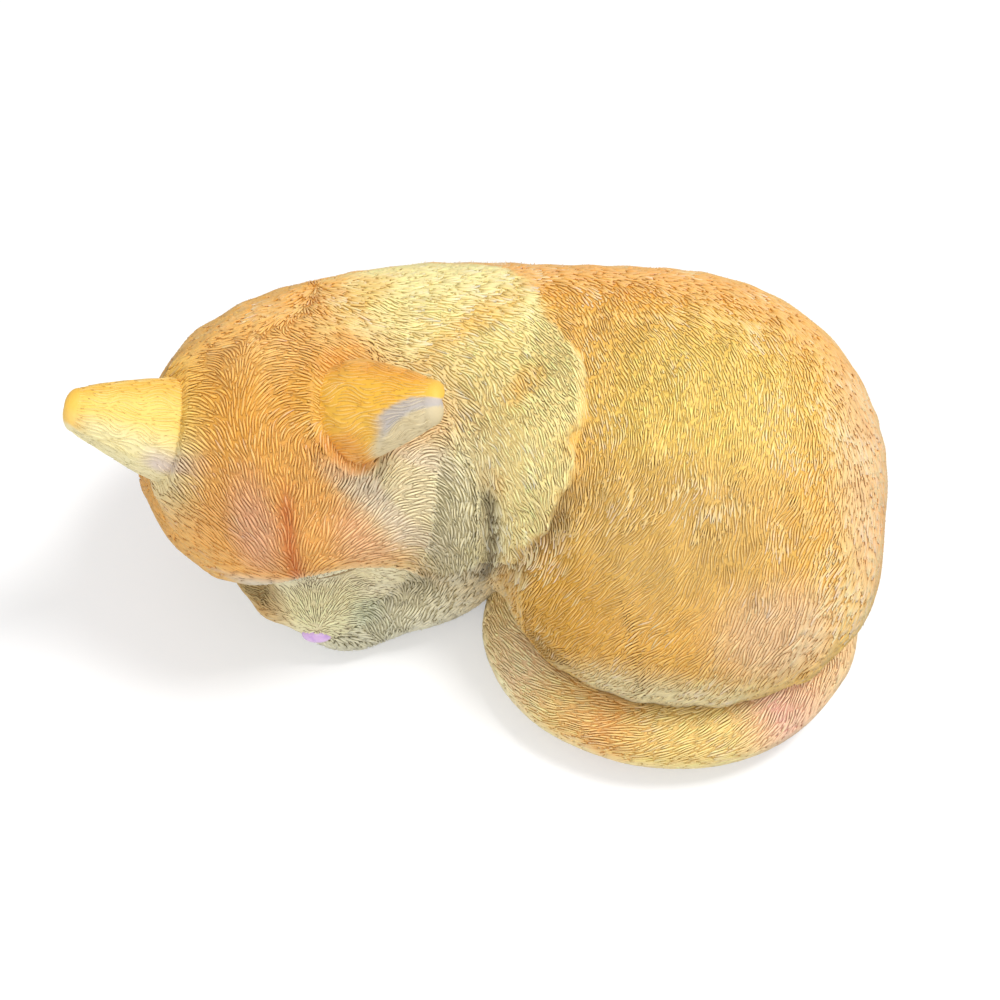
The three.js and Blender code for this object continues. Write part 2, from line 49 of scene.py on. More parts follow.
# The clay behind the castings: ellipsoids, each blended into those before it
clay = dict(
    rump=dict(at=(72, 8, 36), half=(59, 70, 50)),
    loin=dict(at=(14, 32, 38), half=(70, 47, 47), blend=26),
    ribs=dict(at=(-36, 26, 42), half=(53, 46, 42), blend=24),
    nape=dict(at=(-58, 18, 58), half=(38, 34, 31), blend=18),
    thigh=dict(at=(66, -27, 33), half=(58, 43, 37), blend=10),
    shoulder=dict(at=(14, -1, 40), half=(28, 29, 43), blend=7, turn=10),
    leftUpperArm=dict(at=(-13, -11, 38), half=(25, 21, 38)),
    leftForearm=dict(at=(-18, -20, 16), half=(27, 16, 15), blend=8, turn=22),
    leftPaw=dict(at=(-38, -30, 9), half=(16, 11, 9), blend=6, turn=24),
    rightForearm=dict(at=(-74, 8, 17), half=(15, 22, 15)),
    rightPaw=dict(at=(-65, -13, 10), half=(11, 15, 10), blend=6, turn=18),
    skull=dict(at=(0, 4, 0), half=(42, 38, 33)),
    leftCheek=dict(at=(30, -5, -8), half=(24, 26, 22), blend=12),
    rightCheek=dict(at=(-26, -8, -12), half=(22, 25, 21), blend=12),
    muzzle=dict(at=(0, -38, -14), half=(19, 19, 14), blend=10),
    chin=dict(at=(0, -36, -24), half=(13, 15, 11), blend=8),
)
headPose = dict(at=(-58, -8, 61), turn=3, roll=-4, pitch=46, twist=-10)  # degrees
casting = dict(stand=2.0, rim=3.0, plate=3.3)  # lower face, rim round the plate, depth of its rebate
neck = dict(lean=20, depth=10.15)


def unit(v):  # every vector over its own length
    return v / np.maximum(np.linalg.norm(v, axis=-1, keepdims=True), 1e-9)


def rotation(axis, degrees):  # turn about X, Y or Z, for column vectors
    c, s = math.cos(math.radians(degrees)), math.sin(math.radians(degrees))
    rows = dict(x=[(1, 0, 0), (0, c, -s), (0, s, c)], y=[(c, 0, s), (0, 1, 0), (-s, 0, c)],
                z=[(c, -s, 0), (s, c, 0), (0, 0, 1)])
    return np.array(rows[axis], float)


headTurn = (rotation("z", headPose["turn"]) @ rotation("y", headPose["roll"])
            @ rotation("x", headPose["pitch"]) @ rotation("y", headPose["twist"]))


def intoHead(p):  # X to the cat's left, -Y to the nose, +Z to the crown
    return (p - np.array(headPose["at"], float)) @ headTurn


def outOfHead(p):  # the head's turn, then out to its place
    return p @ headTurn.T + np.array(headPose["at"], float)


def lumpDistance(p, lump):  # reach times (reach - 1) over slope, where reach is 1 on the ellipsoid
    q = (p - np.array(lump["at"], float)) @ rotation("z", lump.get("turn", 0))
    half = np.array(lump["half"], float)
    reach = np.linalg.norm(q / half, axis=-1)
    steep = np.linalg.norm(q / half ** 2, axis=-1)
    return np.where(steep > 1e-9, reach * (reach - 1) / np.maximum(steep, 1e-9), -half.min())


def pressed(*names):  # the least of the lumps' distances, with a fillet as wide as the blend
    def field(p):
        d = lumpDistance(p, clay[names[0]])
        for name in names[1:]:
            other, blend = lumpDistance(p, clay[name]), clay[name]["blend"]
            share = np.clip(0.5 + (other - d) / (2 * blend), 0, 1)
            d = other + (d - other) * share - blend * share * (1 - share)
        return d
    return field


bodyField = pressed("rump", "loin", "ribs", "nape", "thigh", "shoulder")
haunchField = pressed("rump", "thigh")
leftLegField = pressed("leftUpperArm", "leftForearm", "leftPaw")
rightLegField = pressed("rightForearm", "rightPaw")
headOwnField = pressed("skull", "leftCheek", "rightCheek", "muzzle", "chin")


def ease(x):  # smooth step from 0 at 0 to 1 at 1
    x = np.clip(x, 0, 1)
    return x * x * (3 - 2 * x)


def between(value, span):  # smooth step from 0 at the first value to 1 at the second
    return ease((value - span[0]) / (span[1] - span[0]))


def swell(turns):  # 1 at whole turns, 0 between
    return 0.5 + 0.5 * np.cos(2 * math.pi * turns)


def within(p, shape):  # 0 on an ellipsoid, 1 in its middle
    return 1 - np.linalg.norm((p - np.array(shape["at"], float)) / np.array(shape["half"], float), axis=-1)


# Forms carved into the coat: the edge of the ruff, the main locks, the brow, the eyes and a full cheek
ruffShape = dict(at=(-22, 8, 70), half=(57, 60, 46), rise=2.6, edge=0.06, depth=0.4, fade=(34, 8),
                 ragged=0.03, tufts=dict(size=17, seed=21), fineTufts=dict(size=7, seed=22), fineShare=0.5)
lockShape = dict(rise=1.2, pitch=13, run=26, wander=4, wanderRun=70, north=20, height=30, radius=50,
                 fade=(10, 18), spine=(-28, -8), rim=(120, 104), close=0.4)
faceShape = dict(at=(2, -52, -5), back=0.075, up=0.11)  # its middle drifts to the left, going back and up
browShape = dict(line=20, droop=0.02, half=(42, 28), rise=2.4, edge=(-1.6, 1), fade=(24, 3), front=(-6, -18),
                 furrow=0.8, furrowHalf=2.2, furrowStart=(0, 6), furrowFade=(24, 4))
padShape = dict(fade=0.7, pads=dict(
    leftEye=dict(at=(19, -35, 2), half=(9, 9, 7), depth=2.2),
    rightEye=dict(at=(-15, -37, 3), half=(9, 9, 7), depth=3),
    fullCheek=dict(at=(27, -36, -9), half=(17, 15, 14), depth=4.5),
    whiskers=dict(at=(-18, -42, -8), half=(14, 15, 13), depth=3.2),
))


def ruffInside(p):  # 0 on the edge of the ruff, more inside it, with a ragged edge
    rough = ripple(p, **ruffShape["tufts"]) + ruffShape["fineShare"] * ripple(p, **ruffShape["fineTufts"])
    return within(p, ruffShape) - ruffShape["ragged"] * rough


def lockRidge(across, along):  # rows of ridges, every second row half a lock behind
    row = np.round(across / lockShape["pitch"])
    return swell(across / lockShape["pitch"]) * swell(along / lockShape["run"] + row / 2)


def coatLift(p):  # the ruff thins towards the neck; locks run down the body, and outwards in the ruff
    x, y, z = p[..., 0], p[..., 1], p[..., 2]
    inside = ruffInside(p)
    full = between(inside, (0, ruffShape["edge"]))
    edge = full * between(inside, (ruffShape["depth"], 0)) * between(y, ruffShape["fade"])
    around = np.arctan2(lockShape["north"] - y, z - lockShape["height"]) * lockShape["radius"]
    sway = lockShape["wander"] * np.sin(2 * math.pi * around / lockShape["wanderRun"])
    east, north = x - headPose["at"][0], y - headPose["at"][1]
    fan = lockRidge(np.arctan2(north, east) * lockShape["radius"], np.hypot(east, north))
    locks = lockRidge(x + sway, around) * (1 - full) + fan * full
    # the fur lies closer along the back and the rim
    free = between(around, lockShape["spine"]) * between(x, lockShape["rim"])
    locks = locks * (lockShape["close"] + (1 - lockShape["close"]) * free)
    return ruffShape["rise"] * edge + lockShape["rise"] * locks * between(z, lockShape["fade"])


def browPlace(q):  # height above the brow's line, which droops by the square of the way across; that way
    x, y, z = q[..., 0], q[..., 1], q[..., 2]
    right, front, low = faceShape["at"]
    across = x - right - faceShape["back"] * (y - front) - faceShape["up"] * (z - low)
    return z - browShape["line"] + browShape["droop"] * across ** 2, across


def faceLift(q):  # the brow stands out with a furrow up its middle, and the hollows of the eyes stay below it
    above, across = browPlace(q)
    full = between(above, browShape["edge"]) * between(np.abs(across), browShape["half"])
    brow = full * between(above, browShape["fade"]) * between(q[..., 1], browShape["front"])
    groove = np.exp(-(across / browShape["furrowHalf"]) ** 2)
    groove = groove * between(above, browShape["furrowStart"]) * between(q[..., 1], browShape["furrowFade"])
    pads = {name: pad["depth"] * between(within(q, pad), (0, padShape["fade"]))
            for name, pad in padShape["pads"].items()}
    eyes = (pads["leftEye"] + pads["rightEye"]) * (1 - full)
    lift = browShape["rise"] * brow - browShape["furrow"] * groove
    return lift + pads["fullCheek"] + pads["whiskers"] - eyes


# Sizes of an ear, and the places and colours of the two
earShape = dict(lean=24, rootHalf=15.5, tipHalf=4, rootBack=12, tipBack=3.5, taper=0.75, lip=3.5,
                leastCup=0.33, cup=0.68, sunk=12, rows=46, outerSteps=30, lipSteps=7, innerSteps=18,
                capRows=7, capStart=0.86, capLean=80, capPart=3, rootPart=0.4, point=0.003, skin=-0.15,
                tone=0.7, flow=9)
ears = dict(
    # the left ear's lobe is painted shade in the lower corner of its root; the right ear's lobe is its own
    # lilac
    left=dict(root=(32, 20.5, 18), tip=(59, 24.5, 30), front=-1, spread=4, lipFrom=0.3, slope=1.25,
              base="EEB83E", point="F4C24C", hem="EAA238", cream="ECBA44", lip="BCB6B4", below="D8CAA6",
              lobe="E49A3C", inner="E2BCA0"),
    right=dict(root=(-30, 19, 20), tip=(-51, 30, 37), front=1, spread=6, lipFrom=-1.0, slope=0,
               base="F6D26C", point="F6C048", hem="F4BE48", cream="F0E6B2", lip="ECE2B4", below="ECE2B4",
               lobe="D0C2C2", inner="DCB49C"),
)


def earFrame(ear):  # the way to the tip, the way across, the way out of its back, and the length
    root, tip = np.array(ear["root"], float), np.array(ear["tip"], float)
    lean = math.radians(earShape["lean"])
    along = unit(tip - root)
    across = unit(np.cross((0, math.sin(lean), math.cos(lean)), along))
    return root, along, across, np.cross(along, across), np.linalg.norm(tip - root)


def earSection(share):  # half the width and the depth, which fall by a power of what is left to the tip
    left = (1 - np.clip(share, 0, 1)) ** earShape["taper"]
    return (earShape["tipHalf"] + (earShape["rootHalf"] - earShape["tipHalf"]) * left,
            earShape["tipBack"] + (earShape["rootBack"] - earShape["tipBack"]) * left)


def earField(q, ear):  # nearness to the back of an ear
    root, along, across, back, length = earFrame(ear)
    share, sideways, out = (q - root) @ along / length, (q - root) @ across, (q - root) @ back
    half, depth = earSection(share)
    around = (np.hypot(sideways / half, out / depth) - 1) * np.minimum(half, depth)
    return np.maximum(np.maximum(around, -out), (share - 1) * length)


filletShape = dict(crown=18, face=3, back=(-8, 14), arm=9, ear=12, blend=6)  # widths of fur over joints


def bridge(one, other, width):  # fillet between two fields: a quarter of the width where they are equal
    return width / 4 * np.clip(1 - np.abs(one - other) / width, 0, 1) ** 2


def neckFillet(one, other, q):  # wide behind the crown, narrow below the face
    wide, narrow = filletShape["crown"], filletShape["face"]
    return bridge(one, other, narrow + (wide - narrow) * between(q[..., 1], filletShape["back"]))


cleftShape = dict(at=5, bend=5, middle=54, reach=30, half=2.8, depth=1.6, front=(-40, -34), back=(-12, -20),
                  foot=(22, 34), top=(72, 64))


def cleft(p):  # 1 on a bent sheet where the foreleg meets the ruff, falling off to both sides
    x, y, z = p[..., 0], p[..., 1], p[..., 2]
    up = (z - cleftShape["middle"]) / cleftShape["reach"]
    across = x - cleftShape["at"] + cleftShape["bend"] * up ** 2
    sheet = np.exp(-(across / cleftShape["half"]) ** 2)
    sheet = sheet * (between(y, cleftShape["front"]) * between(y, cleftShape["back"]))
    return sheet * between(z, cleftShape["foot"]) * between(z, cleftShape["top"])


def earNear(q, ear, reach):  # 1 on an ear, falling off around its root
    return np.exp(-(np.maximum(earField(q, ear), 0) / reach) ** 2)


def jointFields(p):  # distances to the body, the head and the left foreleg, and the place in the head
    q = intoHead(p)
    head = headOwnField(q) - faceLift(q)
    head = head - sum(bridge(head, earField(q, ear), filletShape["ear"]) for ear in ears.values())
    return bodyField(p) - coatLift(p), head, leftLegField(p), q


def bodyForm(p):  # the body less its bridges to the head and the foreleg, with the cleft cut into it
    body, head, arm, q = jointFields(p)
    bridged = body - neckFillet(body, head, q) - bridge(body, arm, filletShape["face"])
    return bridged + cleftShape["depth"] * cleft(p)


def headForm(p):  # the head less its bridges to the body and the foreleg
    body, head, arm, q = jointFields(p)
    return head - neckFillet(head, body, q) - bridge(head, arm, filletShape["arm"])


def leftLegForm(p):  # the left foreleg less its bridges to the head and the body
    body, head, arm, _ = jointFields(p)
    return arm - bridge(arm, head, filletShape["arm"]) - bridge(arm, body, filletShape["face"])


def settle(field, p, reach=0.4):  # four samples round a place give the outward way and the distance back
    corners = np.array([(1, 1, 1), (1, -1, -1), (-1, 1, -1), (-1, -1, 1)], float) * reach
    values = np.stack([field(p + corner) for corner in corners], -1)
    normal = unit(values @ corners)
    return p - normal * values.mean(-1)[..., None], normal


def exitLength(field, start, rays, offset=0.0, guess=1.0, rounds=60, stride=0.6):
    # every round goes along each ray by a share of the field's distance
    far = guess + np.zeros(rays.shape[:-1])
    for _ in range(rounds):
        far = far - stride * (field(start + far[..., None] * rays) - offset)
    return far


def exitPoint(field, start, rays, offset=0.0):  # where rays from a start come out of a form
    start = np.asarray(start, float)
    return start + exitLength(field, start, rays, offset)[..., None] * rays


def sampled(grid, row, col):  # reading of a grid between its places, by shares of the four around
    r, c = np.clip(row.astype(int), 0, grid.shape[0] - 2), np.clip(col.astype(int), 0, grid.shape[1] - 2)
    s, t = row - r, col - c
    if grid.ndim > 2:
        s, t = s[..., None], t[..., None]
    low = grid[r, c] * (1 - t) + grid[r, c + 1] * t
    high = grid[r + 1, c] * (1 - t) + grid[r + 1, c + 1] * t
    return low * (1 - s) + high * s


def spreadOut(grid, rows, cols):  # a coarse grid read at more places
    row, col = np.linspace(0, grid.shape[0] - 1, rows), np.linspace(0, grid.shape[1] - 1, cols)
    return sampled(grid, row[:, None] + 0 * col, 0 * row[:, None] + col)


def sphereWays(v, u):  # directions by the angle from the pole and the angle round it
    return np.stack([np.sin(v) * np.cos(u), np.sin(v) * np.sin(u), np.cos(v) + 0 * u], -1)


class Chart:  # a form's surface by direction from its core: its points and outward normals on a fine grid
    def __init__(self, field, core, rows, cols, turn=np.eye(3), coarse=4, refine=10):
        self.core, self.turn, self.size = np.asarray(core, float), turn, (rows, cols)
        rays = sphereWays(np.linspace(0, math.pi, rows)[:, None], np.linspace(0, 2 * math.pi, cols)) @ turn.T
        guess = spreadOut(exitLength(field, self.core, rays[::coarse, ::coarse]), rows, cols)
        far = exitLength(field, self.core, rays, guess=guess, rounds=refine)
        self.points = self.core + far[..., None] * rays
        self.normals = unit(np.cross(np.gradient(self.points, axis=0), np.gradient(self.points, axis=1)))
        self.normals[0], self.normals[-1] = unit(self.normals[1].mean(0)), unit(self.normals[-2].mean(0))

    def place(self, p):  # row and column of a point's direction
        way = unit(p - self.core) @ self.turn
        row = np.arccos(np.clip(way[..., 2], -1, 1)) / math.pi * (self.size[0] - 1)
        return row, np.arctan2(way[..., 1], way[..., 0]) / (2 * math.pi) % 1 * (self.size[1] - 1)

    def __call__(self, p):  # the surface's point and normal in a point's direction
        row, col = self.place(p)
        return sampled(self.points, row, col), unit(sampled(self.normals, row, col))


def throughPoints(points, count):  # centripetal Catmull-Rom: each span eases by the root of its length
    points = np.asarray(points, float)
    ends = [2 * points[0] - points[1], 2 * points[-1] - points[-2]]
    p = np.vstack([ends[0], points, ends[1]])
    place = np.linspace(0, len(points) - 1, count)
    i = np.minimum(place.astype(int), len(points) - 2)
    t = (place - i)[:, None]
    a, b, c, d = p[i], p[i + 1], p[i + 2], p[i + 3]
    ab, bc, cd = (np.sqrt(np.linalg.norm(y - x, axis=-1, keepdims=True)) for x, y in ((a, b), (b, c), (c, d)))
    leave = ((b - a) / ab - (c - a) / (ab + bc) + (c - b) / bc) * bc
    arrive = ((c - b) / bc - (d - b) / (bc + cd) + (d - c) / cd) * bc
    bend, close = 3 * (c - b) - 2 * leave - arrive, 2 * (b - c) + leave + arrive
    return b + leave * t + bend * t ** 2 + close * t ** 3


def ripple(p, size, seed, waves=6):  # sum of plane waves in random directions, over the root of their count
    dice = np.random.default_rng(seed)
    ways = unit(dice.normal(size=(waves, 3))) * 2 * math.pi / size
    return np.sin(p @ ways.T + dice.uniform(0, 2 * math.pi, waves)).sum(-1) / math.sqrt(waves)


def tint(code):  # a hex colour as linear light
    c = np.array([int(code[i:i + 2], 16) for i in (0, 2, 4)]) / 255
    return np.where(c > 0.04045, ((c + 0.055) / 1.055) ** 2.4, c / 12.92)


def daub(p, at, size, soft=0.7):  # 1 in the middle of an ellipsoid, 0 outside it, smooth between
    reach = np.linalg.norm((p - np.array(at, float)) / np.array(size, float), axis=-1)
    return ease((1 - reach) / soft)


def over(colour, code, share):  # a colour laid over another by a share
    return colour * (1 - share[..., None]) + tint(code) * share[..., None]


def laid(colour, layer, share):  # a layer's colour over another by its strength and a share
    return over(colour, layer["code"], layer["strength"] * share)


def painted(p, base, daubs):  # each daub's colour is laid over those before it by its strength
    colour = np.broadcast_to(tint(base), p.shape).copy()
    for code, strength, at, size in daubs:
        colour = over(colour, code, strength * daub(p, at, size))
    return colour


# The CAD is centred on its box, so the dowels give the step from these lengths to the frame
dowelCorners = [np.array(corner) for side in ("left", "right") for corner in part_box("neck_dowel_" + side)]
dowelMiddle = sum(dowelCorners) / len(dowelCorners)
lean = math.radians(neck["lean"])
neckPoint = outOfHead(np.array([0, math.sin(lean), -math.cos(lean)]) * neck["depth"])
shift = neckPoint - dowelMiddle * metre
print("step to the frame", np.round(shift, 3))


# Shader maths: a socket that adds, multiplies and mixes
class Paint:
    def __init__(self, tree, out=None):
        self.tree, self.out = tree, out

    def node(self, kind, settings=None, sockets=None, out=0):  # any node: type, settings, then sockets
        made = self.tree.nodes.new("ShaderNode" + kind)
        for key, value in (settings or {}).items():
            setattr(made, key, value)
        for key, value in (sockets or {}).items():
            if isinstance(value, Paint):
                self.tree.links.new(value.out, made.inputs[key])
            else:
                made.inputs[key].default_value = value
        return Paint(self.tree, made.outputs[out] if made.outputs else None)

    def maths(self, operation, *values):  # a Math node on numbers or sockets
        return self.node("Math", dict(operation=operation), dict(enumerate(values)))

    def __add__(self, other):
        return self.maths("ADD", self, other)

    def __sub__(self, other):
        return self.maths("SUBTRACT", self, other)

    def __rsub__(self, other):
        return self.maths("SUBTRACT", other, self)

    def __mul__(self, other):
        return self.maths("MULTIPLY", self, other)

    __radd__, __rmul__ = __add__, __mul__

    def noise(self, scale, detail, stretch=(1, 1, 1)):  # noise on the piece's own coordinates
        place = self.node("Mapping", None, {"Vector": self.node("TexCoord", out=3), "Scale": stretch})
        return self.node("TexNoise", None, {"Vector": place, "Scale": scale, "Detail": detail})

    def ease(self, low, high):  # smooth step from 0 at low to 1 at high
        return self.node("MapRange", dict(interpolation_type="SMOOTHSTEP"), {0: self, 1: low, 2: high})

    def mix(self, a, b):  # colours a to b by this value
        return self.node("Mix", dict(data_type="RGBA"), {0: self, 6: a, 7: b}, out=2)


def newPaint(name):  # an empty material, and a brush for its nodes
    material = bpy.data.materials.new(name)
    material.use_nodes = True
    tree = material.node_tree
    tree.nodes.clear()
    return material, Paint(tree)


def coated(finish, **sockets):  # a principled shader with its sockets, and a bump where one is given
    material, p = finish
    bump = sockets.pop("bump", None)
    if bump is not None:
        height, depth = bump
        sockets["Normal"] = p.node("Bump", None, {"Strength": 1.0, "Distance": depth, "Height": height})
    shader = p.node("BsdfPrincipled", None, {k.replace("_", " "): v for k, v in sockets.items()})
    p.node("OutputMaterial", None, {"Surface": shader})
    return material


def rgba(code, alpha=1.0):  # a hex colour as linear light, with its alpha
    return (*tint(code), alpha)


def grainPaint(name, dark, light, scale, detail, rough, depth, span=None, stretch=(1, 1, 1), **more):
    # noise goes from a dark colour to a light one, and roughens and lifts the finish
    finish = newPaint(name)
    p = finish[1]
    grain = p.noise(scale, detail, stretch)
    share = grain.ease(*span) if span else grain
    colour = share.mix(rgba(dark), rgba(light))
    roughness = rough[0] + rough[1] * grain
    return coated(finish, Base_Color=colour, Roughness=roughness, bump=(grain, depth), **more)


furFinish = dict(scale=1400.0, detail=2.0, ridge=(0.12, 0.58), ridgeGrain=0.2, crest=(0.7, 1.05),
                 crestGrain=0.3, dryBrushHighlight=0.3, rough=(0.5, 0.12), depth=0.00012)


def furPaint(name, wash, brush):  # the coat on the ridge, a dark wash in the groove, a dry brush on the crest that is partly a painted highlight
    finish = newPaint(name)
    p = finish[1]
    coat = p.node("Attribute", dict(attribute_name="coat"))
    edge = p.node("Attribute", dict(attribute_name="edge"), out=2)
    grain = p.noise(furFinish["scale"], furFinish["detail"])
    multiply = dict(data_type="RGBA", blend_type="MULTIPLY")
    dark = p.node("Mix", multiply, {0: 1.0, 6: coat, 7: rgba(wash)}, out=2)
    ridge = (edge + (grain - 0.5) * furFinish["ridgeGrain"]).ease(*furFinish["ridge"])
    # the crest is lightened: a dry brush, and partly a painted highlight where light catches the ridge
    crest = (edge + (grain - 0.5) * furFinish["crestGrain"]).ease(*furFinish["crest"]) * furFinish["dryBrushHighlight"]
    colour = crest.mix(ridge.mix(dark, coat), rgba(brush))
    least, more = furFinish["rough"]
    return coated(finish, Base_Color=colour, Roughness=least + more * grain, bump=(grain, furFinish["depth"]))


# the last colour of each paint is the crest's dry brush and painted highlight
gingerPaint = furPaint("ginger fur paint", "98703C", "FFEDB4")
creamPaint = furPaint("cream fur paint", "8E845A", "F6F2DC")
print("fur paints mixed")


def makePiece(name, points, faces, uvs, coat, edge, material, replaced=()):
    # points go from millimetres into the frame; faces and uvs are arrays, one for each face size
    mesh = bpy.data.meshes.new(name)
    corners = np.concatenate([f.ravel() for f in faces])
    sizes = np.concatenate([np.full(len(f), f.shape[1]) for f in faces])
    mesh.vertices.add(len(points))
    mesh.loops.add(len(corners))
    mesh.polygons.add(len(sizes))
    mesh.vertices.foreach_set("co", ((points - shift) / metre).astype(np.float32).ravel())
    mesh.loops.foreach_set("vertex_index", corners.astype(np.int32))
    mesh.polygons.foreach_set("loop_start", (np.cumsum(sizes) - sizes).astype(np.int32))
    mesh.polygons.foreach_set("use_smooth", np.ones(len(sizes), bool))
    mesh.update(calc_edges=True)
    layer = mesh.uv_layers.new(name="OFBake")
    layer.uv.foreach_set("vector", np.concatenate([u.reshape(-1, 2) for u in uvs]).astype(np.float32).ravel())
    colour = np.concatenate([coat, np.ones((len(coat), 1))], 1).astype(np.float32)
    mesh.color_attributes.new("coat", "FLOAT_COLOR", "POINT").data.foreach_set("color", colour.ravel())
    mesh.attributes.new("edge", "FLOAT", "POINT").data.foreach_set("value", edge.astype(np.float32))
    mesh.materials.append(material)
    piece = bpy.data.objects.new(name, mesh)
    bpy.context.scene.collection.objects.link(piece)
    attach(piece, "root")
    if replaced:
        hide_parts(*replaced)
    print(name, len(points), "points", int((sizes - 2).sum()), "triangles")
    return piece


def gridFaces(rows, cols, poles):  # quads round a closed grid, and fans to a pole at either end
    r, c = np.meshgrid(np.arange(rows - 1), np.arange(cols), indexing="ij")
    a, b = r * cols + c, r * cols + (c + 1) % cols
    quads = np.stack([a, b, b + cols, a + cols], -1).reshape(-1, 4)
    u, v = np.stack([c, c + 1, c + 1, c], -1) / cols, (np.stack([r, r, r + 1, r + 1], -1) + 1) / (rows + 1)
    ring = np.arange(cols)
    ahead = (ring + 1) % cols
    last = (rows - 1) * cols
    fans = np.concatenate([np.stack([ring * 0 + poles[0], ahead, ring], -1),
                           np.stack([ring * 0 + poles[1], last + ring, last + ahead], -1)])
    foot, top = np.array([0, 1, 1]) / (rows + 1), np.array([rows + 1, rows, rows]) / (rows + 1)
    low = np.stack([np.stack([ring + 0.5, ring + 1, ring], -1) / cols, np.tile(foot, (cols, 1))], -1)
    high = np.stack([np.stack([ring + 0.5, ring, ring + 1], -1) / cols, np.tile(top, (cols, 1))], -1)
    return [quads, fans], [np.stack([u, v], -1).reshape(-1, 4, 2), np.concatenate([low, high])]


def gridPiece(name, grid, ends, coat, material, replaced=(), edge=0.0, flip=False):
    # a grid closed round its columns, with a pole at each end; flip turns the faces round
    rows, cols = grid.shape[:2]
    points = np.vstack([grid.reshape(-1, 3), np.asarray(ends, float)])
    faces, uvs = gridFaces(rows, cols, (rows * cols, rows * cols + 1))
    if flip:
        faces, uvs = ([x[:, ::-1] for x in both] for both in (faces, uvs))
    edges = np.full(len(points), edge)
    return makePiece(name, points, faces, uvs, coat(points), edges, material, replaced)


def sphereRays(rows, cols):  # directions from pole to pole, without the poles themselves
    v = (np.arange(rows) + 1) / (rows + 1) * math.pi
    return sphereWays(v[:, None], np.arange(cols) / cols * 2 * math.pi)


poles = np.array([(0, 0, 1.0), (0, 0, -1.0)])


def raySkin(field, core, look, turn=np.eye(3)):  # where rays round a core come out of a form, and its poles
    rays = sphereRays(look["rows"], look["cols"])
    return (exitPoint(field, core, ways @ turn.T, look["offset"]) for ways in (rays, poles))


def scatter(grid, tries, dice):  # random places on a grid, so many to a square millimetre
    a, b, c, d = grid[:-1, :-1], grid[:-1, 1:], grid[1:, 1:], grid[1:, :-1]
    area = np.linalg.norm(np.cross(c - a, d - b), axis=-1).ravel() / 2
    pick = dice.choice(len(area), int(area.sum() * tries), p=area / area.sum())
    s, t = dice.uniform(size=(2, len(pick), 1))
    a, b, c, d = (x.reshape(-1, 3)[pick] for x in (a, b, c, d))
    return (a * (1 - s) + b * s) * (1 - t) + (d * (1 - s) + c * s) * t


# Strands: where their rings lie, how they taper, arch and stand out, and their cells in the uv map
strandShape = dict(
    firstRing=0.08, lastRing=0.92, shortness=2.4,
    rootTaper=(0.12, 0.3), tipTaper=(1.1, 0.4), taperPower=0.7,
    archStart=0.14, archRun=0.62, tipSteps=(7.31, 3.17), tipLeast=0.3, tipMore=1.4, tipEdge=0.8,
    overStand=0.2, uvStart=0.1, uvRun=0.8, cellStart=0.06, cellRun=0.88,
)
# Spacing: cubes and bands are shares of the gap, and the table of taken cubes has a prime length
spacing = dict(cube=0.55, bands=(0, -0.55, 0.55, -1.0, 1.0), luck=(0.8, 1.2), shortBonus=0.15, rounds=20,
               table=15485863)
roomShape = dict(lift=0.6, step=0.1, nearest=0.24)  # steps to the next strand, in millimetres
brushShape = dict(toneSpan=(0.75, 1.25), patchLuck=0.5, daubStrength=1.6, patchFade=0.5, tipStart=0.25,
                  tipRun=0.6, rootRun=0.4, brightest=0.94)


def combed(surface, seeds, flow, look, length, dice):
    # walk the flow over the surface, turned by two ripples, and settle at each step
    rings = np.linspace(strandShape["firstRing"], strandShape["lastRing"], look["rings"])
    stops = np.concatenate([[0.0], rings, [1.0]])
    sway = math.radians(look["sway"]) * dice.normal(size=len(seeds))
    p, normal = surface(seeds)
    path, normals = [p], [normal]
    for low, high in zip(stops[:-1], stops[1:]):
        way = flow(p)
        way = unit(way - normal * (way * normal).sum(-1, keepdims=True))
        turn = sway + math.radians(look["swirl"]) * ripple(p, look["swirlSize"], look["seed"])
        turn = turn + math.radians(look["wave"]) * ripple(p, look["waveSize"], look["seed"] + 1)
        way = way * np.cos(turn)[:, None] + np.cross(normal, way) * np.sin(turn)[:, None]
        p, normal = surface(p + way * (length * (high - low))[:, None])
        path.append(p)
        normals.append(normal)
    return np.stack(path, 1), np.stack(normals, 1)


def resampled(path, count):  # the same lines with another number of stops
    place = np.linspace(0, path.shape[1] - 1, count)
    low = np.minimum(place.astype(int), path.shape[1] - 2)
    share = (place - low)[None, :, None]
    return path[:, low] * (1 - share) + path[:, low + 1] * share


def cubes(p, size):  # one whole number for the small cube that holds a point
    place = np.floor(p / size).astype(np.int64) + 1000
    return (place[..., 0] * 2000 + place[..., 1]) * 2000 + place[..., 2]


def spaced(path, normals, length, look, dice):  # longest first: a strand stays where its middle line is clear
    size, table = spacing["cube"] * look["gap"], spacing["table"]
    count = math.ceil(length.max() / size)
    middle = resampled(path, count)
    side = resampled(unit(np.cross(normals, np.gradient(path, axis=1))), count)
    bands = [middle + side * reach * look["gap"] for reach in spacing["bands"]]
    cube = np.stack([cubes(band, size) % table for band in bands], 1)
    rank = np.argsort(np.argsort(-length * dice.uniform(*spacing["luck"], len(length))))
    # short ones may lie closer
    need = 1 - look["overlap"] - spacing["shortBonus"] * (1 - length / length.max())
    taken, kept, waiting = np.zeros(table, bool), np.zeros(len(path), bool), np.ones(len(path), bool)
    for _ in range(spacing["rounds"]):
        live = np.nonzero(waiting)[0]
        if not len(live):
            break
        first = np.full(table, len(path))
        np.minimum.at(first, cube[live].ravel(), np.repeat(rank[live], cube[0].size))
        own = (first[cube[live, 0]] == rank[live][:, None]) & ~taken[cube[live, 0]]
        good = live[own.mean(1) >= need[live]]
        kept[good], waiting[good] = True, False
        taken[cube[good].ravel()] = True
        waiting[live] = waiting[live] & ((~taken[cube[live, 0]]).mean(1) >= need[live])
    return kept


